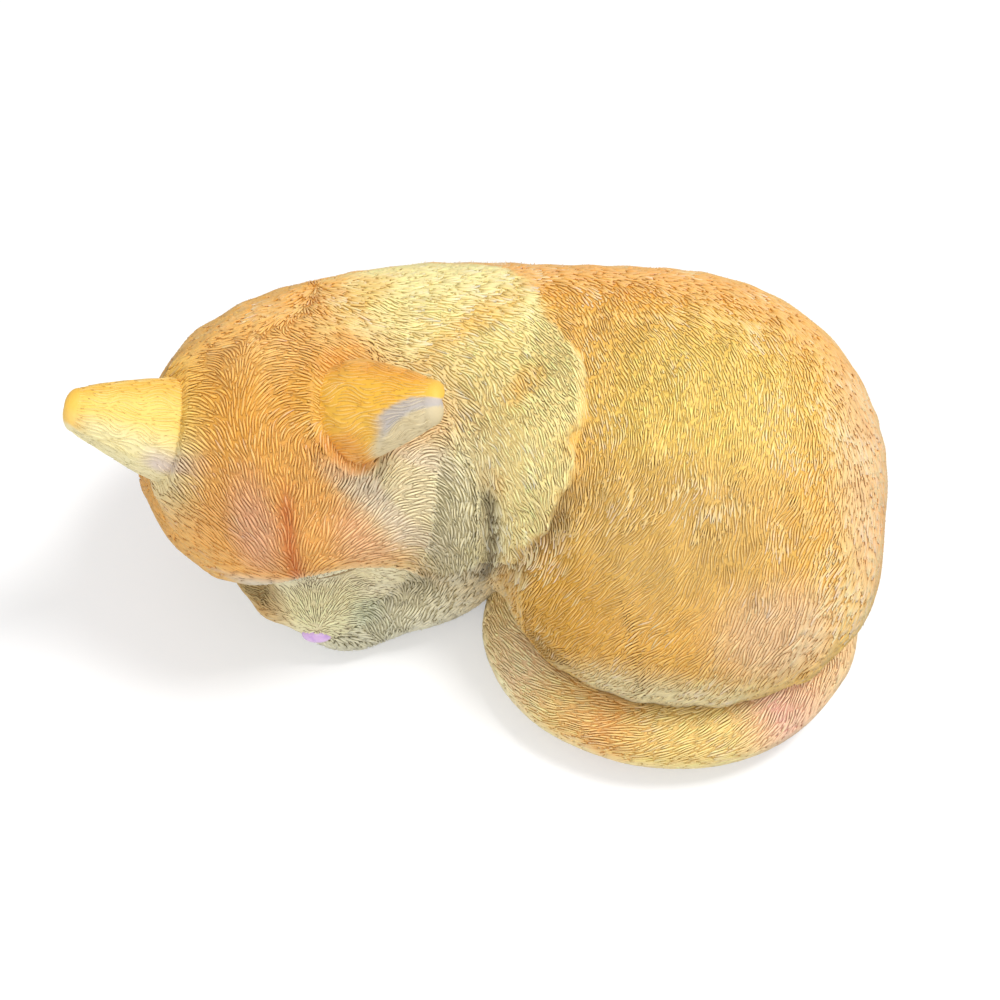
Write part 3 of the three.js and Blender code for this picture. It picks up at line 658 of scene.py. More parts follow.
def roomBeside(path, normals, look):
    # half the way to the next middle line on the right and the left, by steps through marked cubes
    count, stops = path.shape[:2]
    fine = (stops - 1) * look["marks"] + 1
    line, lift = resampled(path, fine), resampled(normals, fine) * look["cube"] * roomShape["lift"]
    marked = cubes(np.stack([line - lift, line, line + lift], 1), look["cube"])
    key, first = np.unique(marked.ravel(), return_index=True)
    owner = first // (3 * fine)
    side = unit(np.cross(normals, unit(np.gradient(path, axis=1))))
    rooms = []
    for sign in (1, -1):
        room = np.full((count, stops), look["most"])
        for step in np.arange(2 * look["most"], roomShape["nearest"], -roomShape["step"]):
            found = cubes(path + sign * step * side, look["cube"])
            at = np.minimum(np.searchsorted(key, found), len(key) - 1)
            met = (key[at] == found) & (owner[at] != np.arange(count)[:, None])
            room = np.where(met, step / 2, room)
        rooms.append((room + np.roll(room, 1, 1) + np.roll(room, -1, 1)) / 3)
    return np.maximum(np.stack(rooms), look["least"])


def strandPoints(path, normals, look, room, stops):
    # a root, rings of right foot, crest and left foot that taper and arch along the strand, and a tip
    count, rings = len(path), len(stops)
    side = unit(np.cross(normals, unit(np.gradient(path, axis=1))))
    start, rise = strandShape["rootTaper"]
    end, fall = strandShape["tipTaper"]
    taper = np.minimum(1, np.minimum((stops + start) / rise, (end - stops) / fall))
    taper = taper ** strandShape["taperPower"]
    spread = ((room[..., 1:-1] + look["lap"]) * taper)[..., None]
    arch = np.sin(math.pi * (strandShape["archStart"] + strandShape["archRun"] * stops))
    crest = (look["rise"] * arch)[None, :, None]
    p, n, s = path[:, 1:-1], normals[:, 1:-1], side[:, 1:-1]
    right, left = p + s * spread[0] - n * look["sunk"], p - s * spread[1] - n * look["sunk"]
    ring = np.stack([right, p + n * crest, left], 2).reshape(count, rings * 3, 3)
    root = path[:, :1] - normals[:, :1] * look["sunk"]
    east, north = strandShape["tipSteps"]
    # some tips stand out more
    loose = np.modf(np.abs(path[:, -1:, :1] * east + path[:, -1:, 1:2] * north))[0]
    outwards = strandShape["tipLeast"] + strandShape["tipMore"] * loose
    tip = path[:, -1:] + normals[:, -1:] * look["rise"] * look["tipLift"] * outwards
    points = np.concatenate([root, ring, tip], 1)
    points[..., 2] = np.maximum(points[..., 2], casting["stand"] + strandShape["overStand"])
    return points


def strandFaces(count, rings, stops):  # quads between rings, fans to both ends, and a uv cell for each strand
    each = rings * 3 + 2
    i = np.arange(3)
    j = (i + 1) % 3
    fans = np.concatenate([np.stack([i * 0, 1 + j, 1 + i], -1),
                           np.stack([i * 0 + each - 1, each - 4 + i, each - 4 + j], -1)])
    k = (np.arange(rings - 1) * 3)[:, None]
    quads = np.stack([1 + k + i, 1 + k + j, 4 + k + j, 4 + k + i], -1).reshape(-1, 4)
    begin, finish = np.array([0.8, 0.4, 1.0]), np.array([0.4, 0.0, 0.8])  # each side's strip across the cell
    middle = (begin + finish) / 2
    v = strandShape["uvStart"] + strandShape["uvRun"] * stops
    across = np.stack([begin, finish, finish, begin], -1)[None].repeat(rings - 1, 0)
    along = np.stack([v[:-1], v[:-1], v[1:], v[1:]], -1)[:, None].repeat(3, 1)
    rootUv = np.stack([np.stack([middle, finish, begin], -1), np.tile([0, v[0], v[0]], (3, 1))], -1)
    tipUv = np.stack([np.stack([middle, begin, finish], -1), np.tile([1, v[-1], v[-1]], (3, 1))], -1)
    cells = math.ceil(math.sqrt(count))
    cell = np.stack([np.arange(count) % cells, np.arange(count) // cells], -1)[:, None, None]
    uvs = [(cell + strandShape["cellStart"] + strandShape["cellRun"] * uv[None]) / cells
           for uv in (np.stack([across, along], -1).reshape(-1, 4, 2), np.concatenate([rootUv, tipUv]))]
    start = (np.arange(count) * each)[:, None, None]
    return [(start + quads[None]).reshape(-1, 4), (start + fans[None]).reshape(-1, 3)], uvs


def strands(name, path, normals, coat, look, room, material):  # three-sided ridges, dark at their feet
    count, rings = len(path), path.shape[1] - 2
    stops = np.linspace(0, 1, rings)
    points = strandPoints(path, normals, look, room, stops)
    faces, uvs = strandFaces(count, rings, stops)
    foot = look["groove"]
    edge = np.concatenate([[foot], np.tile([foot, 1.0, foot], rings), [strandShape["tipEdge"]]])
    shade = np.concatenate([coat[:, :1], np.repeat(coat[:, 1:-1], 3, 1), coat[:, -1:]], 1).reshape(-1, 3)
    return makePiece(name, points.reshape(-1, 3), faces, uvs, shade, np.tile(edge, count), material)


def brushed(path, paint, look, dice):  # a tone for each strand, darker at the root, dry-brushed at the tip
    count, stops = path.shape[:2]
    base = paint(path.reshape(-1, 3)).reshape(path.shape)
    tone = (1 + look["tone"] * dice.normal(size=(count, 1, 1))).clip(*brushShape["toneSpan"])
    share = np.linspace(0, 1, stops)[None, :, None]
    patch = ripple(path[:, 0], look["patchSize"], look["seed"] + 2)
    patch = patch + brushShape["patchLuck"] * dice.normal(size=count)
    for at, size in look.get("dryDaubs", ()):
        patch = patch + brushShape["daubStrength"] * daub(path[:, 0], at, size)
    dry = np.clip((patch - look["patchEdge"]) / brushShape["patchFade"], 0, 1)[:, None, None]
    tipShare = np.clip((share - brushShape["tipStart"]) / brushShape["tipRun"], 0, 1)
    tipShare = tipShare * (look["pale"] + (look["dry"] - look["pale"]) * dry)
    choice = dice.integers(0, len(look["flecks"]), count)
    flecks = np.array([tint(code) for code in look["flecks"]])[choice][:, None]
    colour = base * tone * (look["root"] + (1 - look["root"]) * np.clip(share / brushShape["rootRun"], 0, 1))
    return np.clip(colour * (1 - tipShare) + flecks * tipShare, 0, brushShape["brightest"])


def furred(name, surface, seeds, flow, paint, look, material):
    # comb, space out, brush and build the strands of a section; short ones outnumber long ones
    short, long = look["length"]
    length = short + (long - short) * dice.uniform(size=len(seeds)) ** strandShape["shortness"]
    path, normals = combed(surface, seeds, flow, look, length, dice)
    kept = spaced(path, normals, length, look, dice)
    path, normals = path[kept], normals[kept]
    print(len(seeds), "tried,", len(path), "strands kept")
    coat = brushed(path, paint, look, dice)
    strands(name, path, normals, coat, look, roomBeside(path, normals, look), material)


# Tail: a round path that hugs the haunch, at stations of angle, height, radius and bed
tailShape = dict(
    middle=(62, -10), samples=260, sides=30, rootSunk=0.24, rootRun=0.12, skin=0.4, leastSkin=0.1, tipIn=0.6,
    capLean=(15, 30, 45, 60, 72, 82),
    stations=[(-34, 36, 13, 24), (-43, 21, 12.5, 17), (-60, 13, 11.5, 7.5), (-78, 11.5, 10.8, 2.8),
              (-98, 11.5, 10.5, 1), (-112, 11, 10.5, 1), (-126, 10.5, 10.5, 1), (-139, 10, 10, 1),
              (-152, 9.5, 9.2, 1), (-166, 9, 8, 1)],
)
station = np.array(tailShape["stations"], float)
turn = np.radians(station[:, 0])
tailRays = np.stack([np.cos(turn), np.sin(turn), 0 * turn], -1)
tailStarts = np.concatenate([np.tile(tailShape["middle"], (len(station), 1)), station[:, 1:2]], 1)
tailPoints = exitPoint(lambda p: haunchField(p) - (station[:, 2] - station[:, 3]), tailStarts, tailRays)
tailPath = throughPoints(tailPoints, tailShape["samples"])
tailPlaces = np.linspace(0, len(station) - 1, tailShape["samples"])
tailRadius = np.interp(tailPlaces, np.arange(len(station)), station[:, 2])
rootShare = ease(np.linspace(0, 1 / tailShape["rootRun"], tailShape["samples"]))
tailRadius = tailRadius * (1 - tailShape["rootSunk"] * (1 - rootShare))
tailAlong = unit(np.gradient(tailPath, axis=0))
tailPitch = np.linalg.norm(np.diff(tailPath, axis=0), axis=-1).mean()


def bearing(p):  # angle round the middle of the haunch
    return np.arctan2(p[..., 1] - tailShape["middle"][1], p[..., 0] - tailShape["middle"][0])


tailBearing = np.unwrap(bearing(tailPath))


def tailNearest(p):  # place on the path with the same bearing, then along it to the foot of the perpendicular
    turned = bearing(p)
    turned = np.where(turned > math.pi / 4, turned - 2 * math.pi, turned)
    i = np.interp(-turned, -tailBearing, np.arange(len(tailPath)))
    for _ in range(2):
        near = np.clip(np.round(i), 0, len(tailPath) - 1).astype(int)
        i = near + ((p - tailPath[near]) * tailAlong[near]).sum(-1) / tailPitch
    return np.clip(np.round(i), 0, len(tailPath) - 1).astype(int)


def tailField(p):  # distance from the path less the radius there
    i = tailNearest(p)
    return np.linalg.norm(p - tailPath[i], axis=-1) - tailRadius[i]


# Comb strokes over the body, each from root to tip
combShape = dict(samples=14, near=17, spineSamples=40, strokes=dict(
    spine=[(-62, 26, 84), (-36, 46, 78), (0, 60, 74), (40, 62, 74), (80, 56, 70), (108, 36, 62), (122, 8, 54),
           (122, -22, 44)],
    flank=[(26, 40, 84), (37, 16, 85), (44, -6, 81), (42, -26, 73), (33, -40, 62)],
    thighTop=[(50, 40, 84), (64, 11, 86), (67, -12, 84), (62, -32, 77), (48, -45, 66), (25, -49, 51),
              (8, -46, 38)],
    thighSide=[(83, 45, 78), (94, 11, 82), (95, -16, 79), (85, -36, 74), (70, -52, 66), (51, -62, 53),
               (28, -60, 33)],
    thighLow=[(66, -58, 60), (60, -66, 49), (46, -69, 33), (34, -66, 20)],
    thighRight=[(92, -40, 70), (88, -58, 56), (82, -68, 42), (74, -70, 24)],
    rumpSide=[(107, 29, 74), (116, -1, 68), (115, -28, 60), (108, -48, 53), (96, -62, 40)],
    rumpRight=[(120, 20, 60), (129, 0, 40), (129, -12, 16)],
    ruffTop=[(-45, 38, 87), (-23, 26, 87), (-2, 27, 86), (19, 21, 84), (30, 0, 80), (30, -18, 69)],
    ruffLow=[(-14, -2, 78), (-2, -16, 70), (10, -27, 60), (12, -32, 46)],
    nape=[(-55, 42, 85), (-72, 28, 86), (-88, 18, 76), (-92, 14, 56)],
    farRump=[(100, 50, 56), (112, 48, 34), (114, 44, 12)],
    farHip=[(60, 70, 60), (66, 78, 36), (70, 78, 12)],
    farLoin=[(10, 66, 64), (16, 78, 40), (22, 77, 14)],
    farRibs=[(-40, 58, 66), (-36, 70, 44), (-30, 70, 16)],
    farNape=[(-72, 40, 66), (-80, 48, 44), (-82, 46, 18)],
))
combPoints = [throughPoints(stroke, combShape["samples"]) for stroke in combShape["strokes"].values()]
combWays = np.concatenate([unit(np.gradient(points, axis=0)) for points in combPoints])
combPoints = np.concatenate(combPoints)
spine = throughPoints(combShape["strokes"]["spine"], combShape["spineSamples"])


def bodyFlow(p):  # every stroke pulls along its own way, by the fourth power of closeness
    gap = (p ** 2).sum(-1)[:, None] - 2 * p @ combPoints.T + (combPoints ** 2).sum(-1)
    return (1 / (gap + combShape["near"] ** 2) ** 2) @ combWays


def spineGap(p):  # distance to the nearest sample of the spine
    return np.sqrt(((p[:, None] - spine) ** 2).sum(-1).min(1))


# Body
bodyCoat = dict(
    base="F6C25A",
    daubs=[
        ("FCDE72", 0.8, (66, 0, 84), (50, 44, 40)),
        ("F8BC50", 0.8, (40, 52, 80), (80, 24, 30)),
        ("E2BA62", 0.9, (55, -36, 68), (60, 34, 32)),
        ("E4B03E", 0.9, (18, -46, 46), (36, 26, 30)),
        # painted shade on the haunch just above the tail
        ("9A7430", 0.6, (21, -55, 31), (16, 12, 9)),
        ("F0D0A4", 0.7, (122, -10, 56), (26, 62, 46)),
        ("F0D2B4", 0.6, (90, -60, 52), (32, 22, 26)),
        ("ECE4B8", 0.75, (45, -70, 28), (64, 16, 22)),
    ],
    spine=dict(code="F09A36", strength=0.75, reach=26),
    ruff=dict(code="FFEEA4", strength=0.92, edge=(0, 0.06)),
    gold=dict(code="F8C85A", strength=0.7, size=24, seed=31, above=0.35),
    # painted shadow cast by the ruff's lower edge onto the flank
    ruffShadow=dict(code="8E6A28", strength=0.6, outside=(-0.16, -0.02), inside=(0.05, -0.01), front=(-14, -26)),
    nape=dict(code="F6AC38", strength=0.95, wander=6, size=12, seed=41, side=(32, 54), front=(-8, 14)),
    front=dict(code="D8A448", strength=0.8, at=(10, -36, 37), size=(9, 11, 10)),
    # painted shade: dark brown in the cleft where the foreleg meets the ruff
    cleft=dict(code="5E4C28", strength=0.85),
)
bodySkin = dict(rows=150, cols=340, offset=-0.35, tone=0.44, chart=(441, 961))
bodyFur = dict(tries=5.0, lowest=4, gap=0.45, overlap=0.3, rings=5, length=(1.2, 7), marks=4, cube=0.3,
               least=0.22, most=0.6, lap=0.06, rise=0.32, sunk=0.38, tipLift=1.2, groove=0, root=0.72,
               seed=3, swirl=10, swirlSize=50, wave=10, waveSize=7.5, sway=6, tone=0.06, pale=0.25, dry=0.8,
               patchSize=20, patchEdge=0.75, flecks=["FBEFC0", "FAE6C0", "F8E8D2", "F6EEC4"],
               dryDaubs=[((55, -28, 77), (34, 9, 16)), ((98, -4, 78), (20, 20, 16)),
                         ((50, -68, 34), (50, 12, 14)), ((112, -40, 54), (16, 26, 22)),
                         ((14, -30, 56), (22, 14, 14)), ((124, -4, 46), (20, 56, 44))])
furParts = dict(  # what each part of the coat has of its own
    nape=dict(gap=0.46, groove=0.25),
    ruff=dict(gap=0.43, groove=0.2, patchSize=9, patchEdge=0.3, length=(1.4, 7.5), rings=6, lap=0.02,
              rise=0.46, sunk=0.5, root=0.64, tipLift=2.0, wave=14, waveSize=6, sway=10,
              flecks=["FDF6CE", "FBF2C6", "F6F0D8", "DCDCD4"]),
    back=dict(gap=0.5, tries=4.0, groove=0.25),
    flank=dict(gap=0.4, lap=0.03, groove=0.12, length=(1.2, 6.5), rings=4, wave=8),
    haunch=dict(gap=0.46, marks=7, length=(1.4, 8), rings=6, most=0.56, lap=0.0, rise=0.42, sunk=0.52,
                root=0.6, wave=12, waveSize=7, sway=5),
)
partEdges = dict(ruff=14, nape=(-22, 0), back=34, haunch=-26, wander=9, size=16, seed=51, slant=0.15,
                 slantFrom=60)


def furPart(p):  # which part of the coat a place belongs to, with a wandering edge between flank and haunch
    x, y = p[:, 0], p[:, 1]
    low = y + partEdges["wander"] * ripple(p, partEdges["size"], partEdges["seed"])
    low = low + partEdges["slant"] * np.maximum(x - partEdges["slantFrom"], 0)
    east, north = partEdges["nape"]
    fore = np.where((x < east) & (y > north), "nape", "ruff")
    hind = np.where(y > partEdges["back"], "back", np.where(low > partEdges["haunch"], "flank", "haunch"))
    return np.where(x < partEdges["ruff"], fore, hind)


def bodyPaint(p):
    # daubs by place, the orange of the spine, the pale ruff with gold in it and a painted shadow below it,
    # the nape
    edge, ruff, gold, ruffShadow, nape = (bodyCoat[name] for name in ("spine", "ruff", "gold", "ruffShadow", "nape"))
    colour = painted(p, bodyCoat["base"], bodyCoat["daubs"])
    colour = laid(colour, edge, np.clip(1 - spineGap(p) / edge["reach"], 0, 1))
    inside, north = ruffInside(p), p[..., 1]
    full = between(inside, ruff["edge"])
    colour = laid(colour, ruff, full)
    colour = laid(colour, gold, full * ease(ripple(p, gold["size"], gold["seed"]) - gold["above"]))
    # painted shadow in a band just outside the ruff's lower edge, towards the front
    shade = between(inside, ruffShadow["outside"]) * between(inside, ruffShadow["inside"])
    colour = laid(colour, ruffShadow, shade * between(north, ruffShadow["front"]))
    west = nape["wander"] * ripple(p, nape["size"], nape["seed"]) - p[..., 0]
    return laid(colour, nape, between(west, nape["side"]) * between(north, nape["front"]))


def bodyGrid():  # rays from straight up to the casting's lower edge, then in over the rim and the rebate
    core = np.array([(clay["rump"]["at"][0] + clay["ribs"]["at"][0]) / 2,
                     (clay["loin"]["at"][1] + clay["shoulder"]["at"][1]) / 2, clay["loin"]["at"][2]], float)
    u = np.arange(bodySkin["cols"]) / bodySkin["cols"] * 2 * math.pi
    level = np.stack([np.cos(u), np.sin(u), 0 * u], -1)
    below = np.array([core[0], core[1], casting["stand"]])
    edge = exitPoint(bodyField, below, level, bodySkin["offset"])
    least = np.arctan2(casting["stand"] - core[2], np.linalg.norm(edge - below, axis=-1))
    share = (np.arange(bodySkin["rows"]) + 1) / bodySkin["rows"]
    lift = math.pi / 2 + (least - math.pi / 2) * share[:, None]
    rays = np.stack([np.cos(lift) * np.cos(u), np.cos(lift) * np.sin(u), np.sin(lift)], -1)
    skin = exitPoint(bodyForm, core, rays, bodySkin["offset"])
    rim = exitPoint(bodyField, below, level, -casting["rim"])
    roof = rim + (0, 0, casting["plate"])
    top = exitPoint(bodyField, core, np.array([[0, 0, 1.0]]), bodySkin["offset"])
    ends = [top[0], below + (0, 0, casting["plate"])]
    return core, np.concatenate([skin, edge[None], rim[None], roof[None]]), ends


def clear(p, *fields, cover=1.2):  # true where no other section covers a place by more than this
    return np.all([field(p) > -cover for field in fields], axis=0)


legCoat = dict(
    base="F0EACC",
    daubs=[
        # painted shade in the hollow between the cheek and the top of the left foreleg
        ("A4905C", 0.65, (-19, -33, 36), (13, 10, 11)),
        ("E6DEBA", 0.6, (-14, -26, 30), (24, 20, 30)),
        ("EAE8CC", 0.6, (-38, -34, 10), (22, 16, 14)),
    ],
    combAim=(0, 0, -14),  # from the paw
)
headCoat = dict(
    base="F4B45A",
    daubs=[
        ("F0B040", 0.8, (4, 24, 30), (50, 34, 34)),
        ("F6C878", 0.6, (0, 46, 10), (44, 22, 30)),
        ("E6B498", 0.5, (30, -14, 18), (16, 22, 18)),
        ("E6B2A2", 0.5, (-1, -8, 27), (12, 26, 16)),
        ("F8CC62", 0.7, (-24, 12, 27), (14, 22, 16)),
        ("EEA63C", 0.8, (-42, -8, 0), (20, 32, 28)),
    ],
    stripe=dict(code="D8701E", strength=0.8, half=2.6, height=(-2, 2), back=(8, -6)),
    cheek=dict(code="EAE2BA", strength=0.85, slant=0.5, side=(20, 32), back=(14, 4)),
    lilac=dict(code="E0CCC4", strength=0.5, size=16, seed=43, more=0.2),
    underBrow=dict(code="ECEACE", strength=0.9, height=(4, -4), front=(-14, -22), side=(-34, -26)),
    faceDaubs=[  # the muzzle's two, marked True, stay below the brow
        ("FAF4C0", 0.9, (4, -48, -4), (24, 20, 16), True),
        ("D8D6CC", 0.8, (-5, -28, 16), (17, 9, 9), False),
        # ochre on the right of the muzzle, deepened in part as painted shade on that side
        ("C8902C", 0.95, (-20, -44, -8), (20, 20, 18), True),
        # painted shade in the hollow of the right eye, below the brow
        ("8E7434", 0.8, (-16, -38, -1), (12, 9, 7), False),
        ("CAE2C4", 0.7, (17, -48, -10), (10, 10, 7), False),
        ("DCD6B0", 0.8, (0, -40, -30), (24, 24, 16), False),
    ],
)
headSkin = dict(rows=120, cols=200, offset=-0.3, tone=0.42, chart=(321, 641))
headFur = dict(tries=4.4, gap=0.5, overlap=0.3, rings=6, length=(1.4, 7.5), marks=4, cube=0.32, least=0.25,
               most=0.7, lap=0.06, rise=0.32, sunk=0.4, tipLift=0.8, groove=0.1, root=0.8, seed=5, swirl=6,
               swirlSize=40, wave=11, waveSize=8, sway=4, tone=0.06, pale=0.1, dry=0.5, patchSize=18,
               patchEdge=0.9, nose=(2, -54, -6), brow=(7, -27, 17), browStart=-3, browRun=5,
               flecks=["F8DCA0", "F4D2B4", "EED8C8", "F8E6AC"])
muzzleFur = dict(back=-20, gap=0.34, rings=5, length=(1.2, 6), cube=0.24, least=0.18, most=0.5, rise=0.18,
                 sunk=0.3, groove=0.2, wave=6, flecks=["FBF4C4", "F6F0CC", "F4F2DC"])


def headPaint(p):  # ginger over the brow with a red stripe up its middle, cream below it, daubs on the face
    stripe, cheek, lilac, under = (headCoat[name] for name in ("stripe", "cheek", "lilac", "underBrow"))
    q = intoHead(p)
    x, y = q[..., 0], q[..., 1]
    height, across = browPlace(q)
    colour = painted(q, headCoat["base"], headCoat["daubs"])
    line = np.exp(-(across / stripe["half"]) ** 2)
    colour = laid(colour, stripe, line * between(height, stripe["height"]) * between(y, stripe["back"]))
    side = between(x + cheek["slant"] * y, cheek["side"]) * between(y, cheek["back"])
    colour = laid(colour, cheek, side)
    colour = laid(colour, lilac, side * ease(ripple(q, lilac["size"], lilac["seed"]) + lilac["more"]))
    below = between(height, under["height"]) * between(y, under["front"]) * between(x, under["side"])
    colour = laid(colour, under, below)
    for code, strength, at, size, belowBrow in headCoat["faceDaubs"]:
        share = strength * daub(q, at, size)
        colour = over(colour, code, share * below if belowBrow else share)
    return colour


def headFlow(p):  # away from the nose below the brow, and in a fan from the middle of the brow above it
    q = intoHead(p)
    above = np.clip((browPlace(q)[0] - headFur["browStart"]) / headFur["browRun"], 0, 1)[:, None]
    nose, brow = (unit(q - np.array(headFur[name], float)) for name in ("nose", "brow"))
    return (nose * (1 - above) + brow * above) @ headTurn.T


def legPaint(p):  # cream with daubs by place
    return painted(p, legCoat["base"], legCoat["daubs"])


def legFlow(p):  # towards a place below the left paw
    return unit(np.array(clay["leftPaw"]["at"], float) - p + legCoat["combAim"])


def shares(p):  # how much of a place's coat is the body's, the head's and the forelegs', by nearness
    body, head, arm, _ = jointFields(p)
    near = np.stack([body, head, np.minimum(arm, rightLegField(p))], -1)
    near = np.exp(-np.maximum(near, 0) / filletShape["blend"])
    return (near / near.sum(-1, keepdims=True))[..., None, :]


# Shares of an ear's length and of its half width where each colour comes in, and its strength
earBrush = dict(
    cream=dict(front=(-0.1, 0.6), strength=0.85),
    hem=dict(front=(-0.3, -0.9), strength=0.8),
    point=dict(share=(0.7, 0.95), strength=0.8),
    lobe=dict(front=(0.35, 0.75), share=(0.3, 0.05), strength=0.85),
    below=dict(line=(0.1, 0.3), strength=0.9),
    lip=dict(line=0.1, gap=(0.3, 0.18), run=0.2, strength=0.9),
    inner=dict(cup=(0.75, 0.63), share=(0.9, 0.8), strength=0.9),
    goldEdge=0.05, root=(0.3, 0), spread=0.9, comb=(0.9, 0.1),
)


def earCoat(ear, q):  # gold at the tip and along the back edge, cream in front, a grey lip and lobe
    def brush(colour, name, share):  # one of the ear's colours laid over by its strength and a share
        return over(colour, ear[name], share * earBrush[name]["strength"])

    root, along, across, _, length = earFrame(ear)
    share = (q - root) @ along / length
    front = ear["front"] * ((q - root) @ across) / earSection(share)[0]
    lobe, lip = earBrush["lobe"], earBrush["lip"]
    colour = np.broadcast_to(tint(ear["base"]), q.shape).copy()
    colour = brush(colour, "cream", between(front, earBrush["cream"]["front"]))
    colour = brush(colour, "hem", between(front, earBrush["hem"]["front"]))
    colour = brush(colour, "point", between(share, earBrush["point"]["share"]))
    # on the left ear the lobe is painted shade at the root, on the right ear a lilac paint
    colour = brush(colour, "lobe", between(front, lobe["front"]) * between(share, lobe["share"]))
    # the edge of the gold runs from the lobe to the tip
    line = front - np.maximum(earBrush["goldEdge"], 1 - ear["slope"] * share)
    colour = brush(colour, "below", between(line, earBrush["below"]["line"]))
    onLip = between(np.abs(line - lip["line"]), lip["gap"])
    return brush(colour, "lip", onLip * ease((share - ear["lipFrom"]) / lip["run"]))


def coatPaint(p):  # the coats of the three sections run into each other, with painted shade in the cleft below the ruff
    colour = (np.stack([bodyPaint(p), headPaint(p), legPaint(p)], -1) * shares(p)).sum(-1)
    for ear in ears.values():
        near = earBrush["spread"] * earNear(intoHead(p), ear, ear["spread"])[..., None]
        colour = colour * (1 - near) + earCoat(ear, intoHead(p)) * near
    front = bodyCoat["front"]
    colour = laid(colour, front, daub(p, front["at"], front["size"]))
    # painted shade laid into the cleft below the ruff
    return laid(colour, bodyCoat["cleft"], cleft(p))


def coatFlow(p):  # the flows of the three sections by their shares, and up the back of each ear
    way = (np.stack([unit(bodyFlow(p)), headFlow(p), legFlow(p)], -1) * shares(p)).sum(-1)
    q = intoHead(p)
    for ear in ears.values():
        root, along, across, _, _ = earFrame(ear)
        front = ear["front"] * ((q - root) @ across) / earShape["rootHalf"]
        near = (earNear(q, ear, earShape["flow"]) * between(front, earBrush["comb"]))[..., None]
        way = way * (1 - near) + along @ headTurn.T * near
    return way


def charted(chart, flow, coarse=4):  # a flow worked out at some places of a chart and read between them
    some = chart.points[::coarse, ::coarse]
    ways = spreadOut(flow(some.reshape(-1, 3)).reshape(some.shape), *chart.size)
    return lambda p: sampled(ways, *chart.place(p))


dice = np.random.default_rng(11)
core, closed, ends = bodyGrid()
gridPiece("body_skin", closed, ends, coatPaint, gingerPaint, ["body_shell"], bodySkin["tone"],
          flip=True)
bodyChart = Chart(bodyForm, core, *bodySkin["chart"])
bodyWays = charted(bodyChart, coatFlow)
print("body charted")
seeds = scatter(bodyChart.points, bodyFur["tries"], dice)
free = clear(seeds, headForm, leftLegForm, rightLegField, tailField)
seeds = seeds[(seeds[:, 2] > bodyFur["lowest"]) & free]
part = furPart(seeds)
for name, own in furParts.items():
    look = {**bodyFur, **own}
    here = seeds[part == name]
    here = here[:int(len(here) * look["tries"] / bodyFur["tries"])]
    furred(name + "_fur", bodyChart, here, bodyWays, coatPaint, look, gingerPaint)

# Head
core = outOfHead(np.array(clay["skull"]["at"], float))
skin, ends = raySkin(headForm, core, headSkin, headTurn)
gridPiece("head_skin", skin, ends, coatPaint, gingerPaint, ["head_shell"], headSkin["tone"],
          flip=True)
headChart = Chart(headForm, core, *headSkin["chart"], turn=headTurn)
seeds = scatter(headChart.points, headFur["tries"], dice)
seeds = seeds[clear(seeds, bodyForm, leftLegForm, rightLegField)]
q = intoHead(seeds)
muzzle = (browPlace(q)[0] < 0) & (q[:, 1] < muzzleFur["back"])
headWays = charted(headChart, coatFlow)
muzzleLook = {**headFur, **muzzleFur}
furred("muzzle_fur", headChart, seeds[muzzle], headWays, coatPaint, muzzleLook, gingerPaint)
furred("head_fur", headChart, seeds[~muzzle], headWays, coatPaint, headFur, gingerPaint)

# Ears: a cupped cone, section by section, with a round lip, a blunt tip and fine strands up its back
earFur = dict(count=7200, gap=0.5, overlap=0.3, rings=6, length=(3, 9), marks=6, cube=0.3, least=0.25,
              most=0.6, lap=0.05, rise=0.2, sunk=0.32, tipLift=1.0, groove=0.2, root=0.8, seed=17, wave=0.1,
              waveSize=9, tone=0.04, pale=0.1, dry=0.3, patchSize=12, patchEdge=0.8,
              starts=(-0.4, 0.93), furthest=0.9, round=(0.02, 0.98), nudge=(0.02, 0.01),
              flecks=["FBF0C8", "FAE8C0"])


def earPlace(ear, share, sideways, outwards):  # root, a share of the length, and a place in the section
    root, along, across, back, length = earFrame(ear)
    onAxis = root + (share * length)[..., None] * along
    return onAxis + sideways[..., None] * across + outwards[..., None] * back


def earGrid(ear):  # each ring: the back as half an ellipse, a round lip, the cup, and the other lip
    length = earFrame(ear)[4]
    last, rows, capRows = earShape["capStart"], earShape["rows"], earShape["capRows"]
    share = np.concatenate([np.linspace(-earShape["sunk"] / length, last, rows), np.full(capRows, last)])
    lean = np.concatenate([np.zeros(rows), np.linspace(0, earShape["capLean"], capRows + 1)[1:]])
    half, depth = (x[:, None] for x in earSection(share))
    half, depth = half + earShape["skin"], depth + earShape["skin"]
    inside = np.maximum(half - earShape["lip"], half * earShape["leastCup"])
    cup = depth * earShape["cup"] * np.sin(math.pi * np.clip(share, 0, 1))[:, None]
    arc = np.linspace(0, math.pi, earShape["outerSteps"])
    lip = math.pi + np.linspace(0, math.pi, earShape["lipSteps"] + 2)[1:-1]
    hollow = np.linspace(math.pi, 0, earShape["innerSteps"])
    middle, bead = (half + inside) / 2, (half - inside) / 2
    sideways = np.concatenate([half * np.cos(arc), -middle + bead * np.cos(lip), inside * np.cos(hollow),
                               middle + bead * np.cos(lip)], 1)
    outwards = np.concatenate([depth * np.sin(arc), bead * np.sin(lip), cup * np.sin(hollow),
                               bead * np.sin(lip)], 1)
    shrink, centre = np.cos(np.radians(lean))[:, None], depth / earShape["capPart"]
    ahead = share + np.sin(np.radians(lean)) * (1 - last)
    onward = ahead[:, None] + 0 * sideways
    ring = earPlace(ear, onward, sideways * shrink, centre + (outwards - centre) * shrink)
    rootEnd = earPlace(ear, share[:1], np.zeros(1), depth[0] * earShape["rootPart"])
    tipEnd = earPlace(ear, ahead[-1:] + earShape["point"], np.zeros(1), centre[-1])
    return ring, np.concatenate([rootEnd, tipEnd])


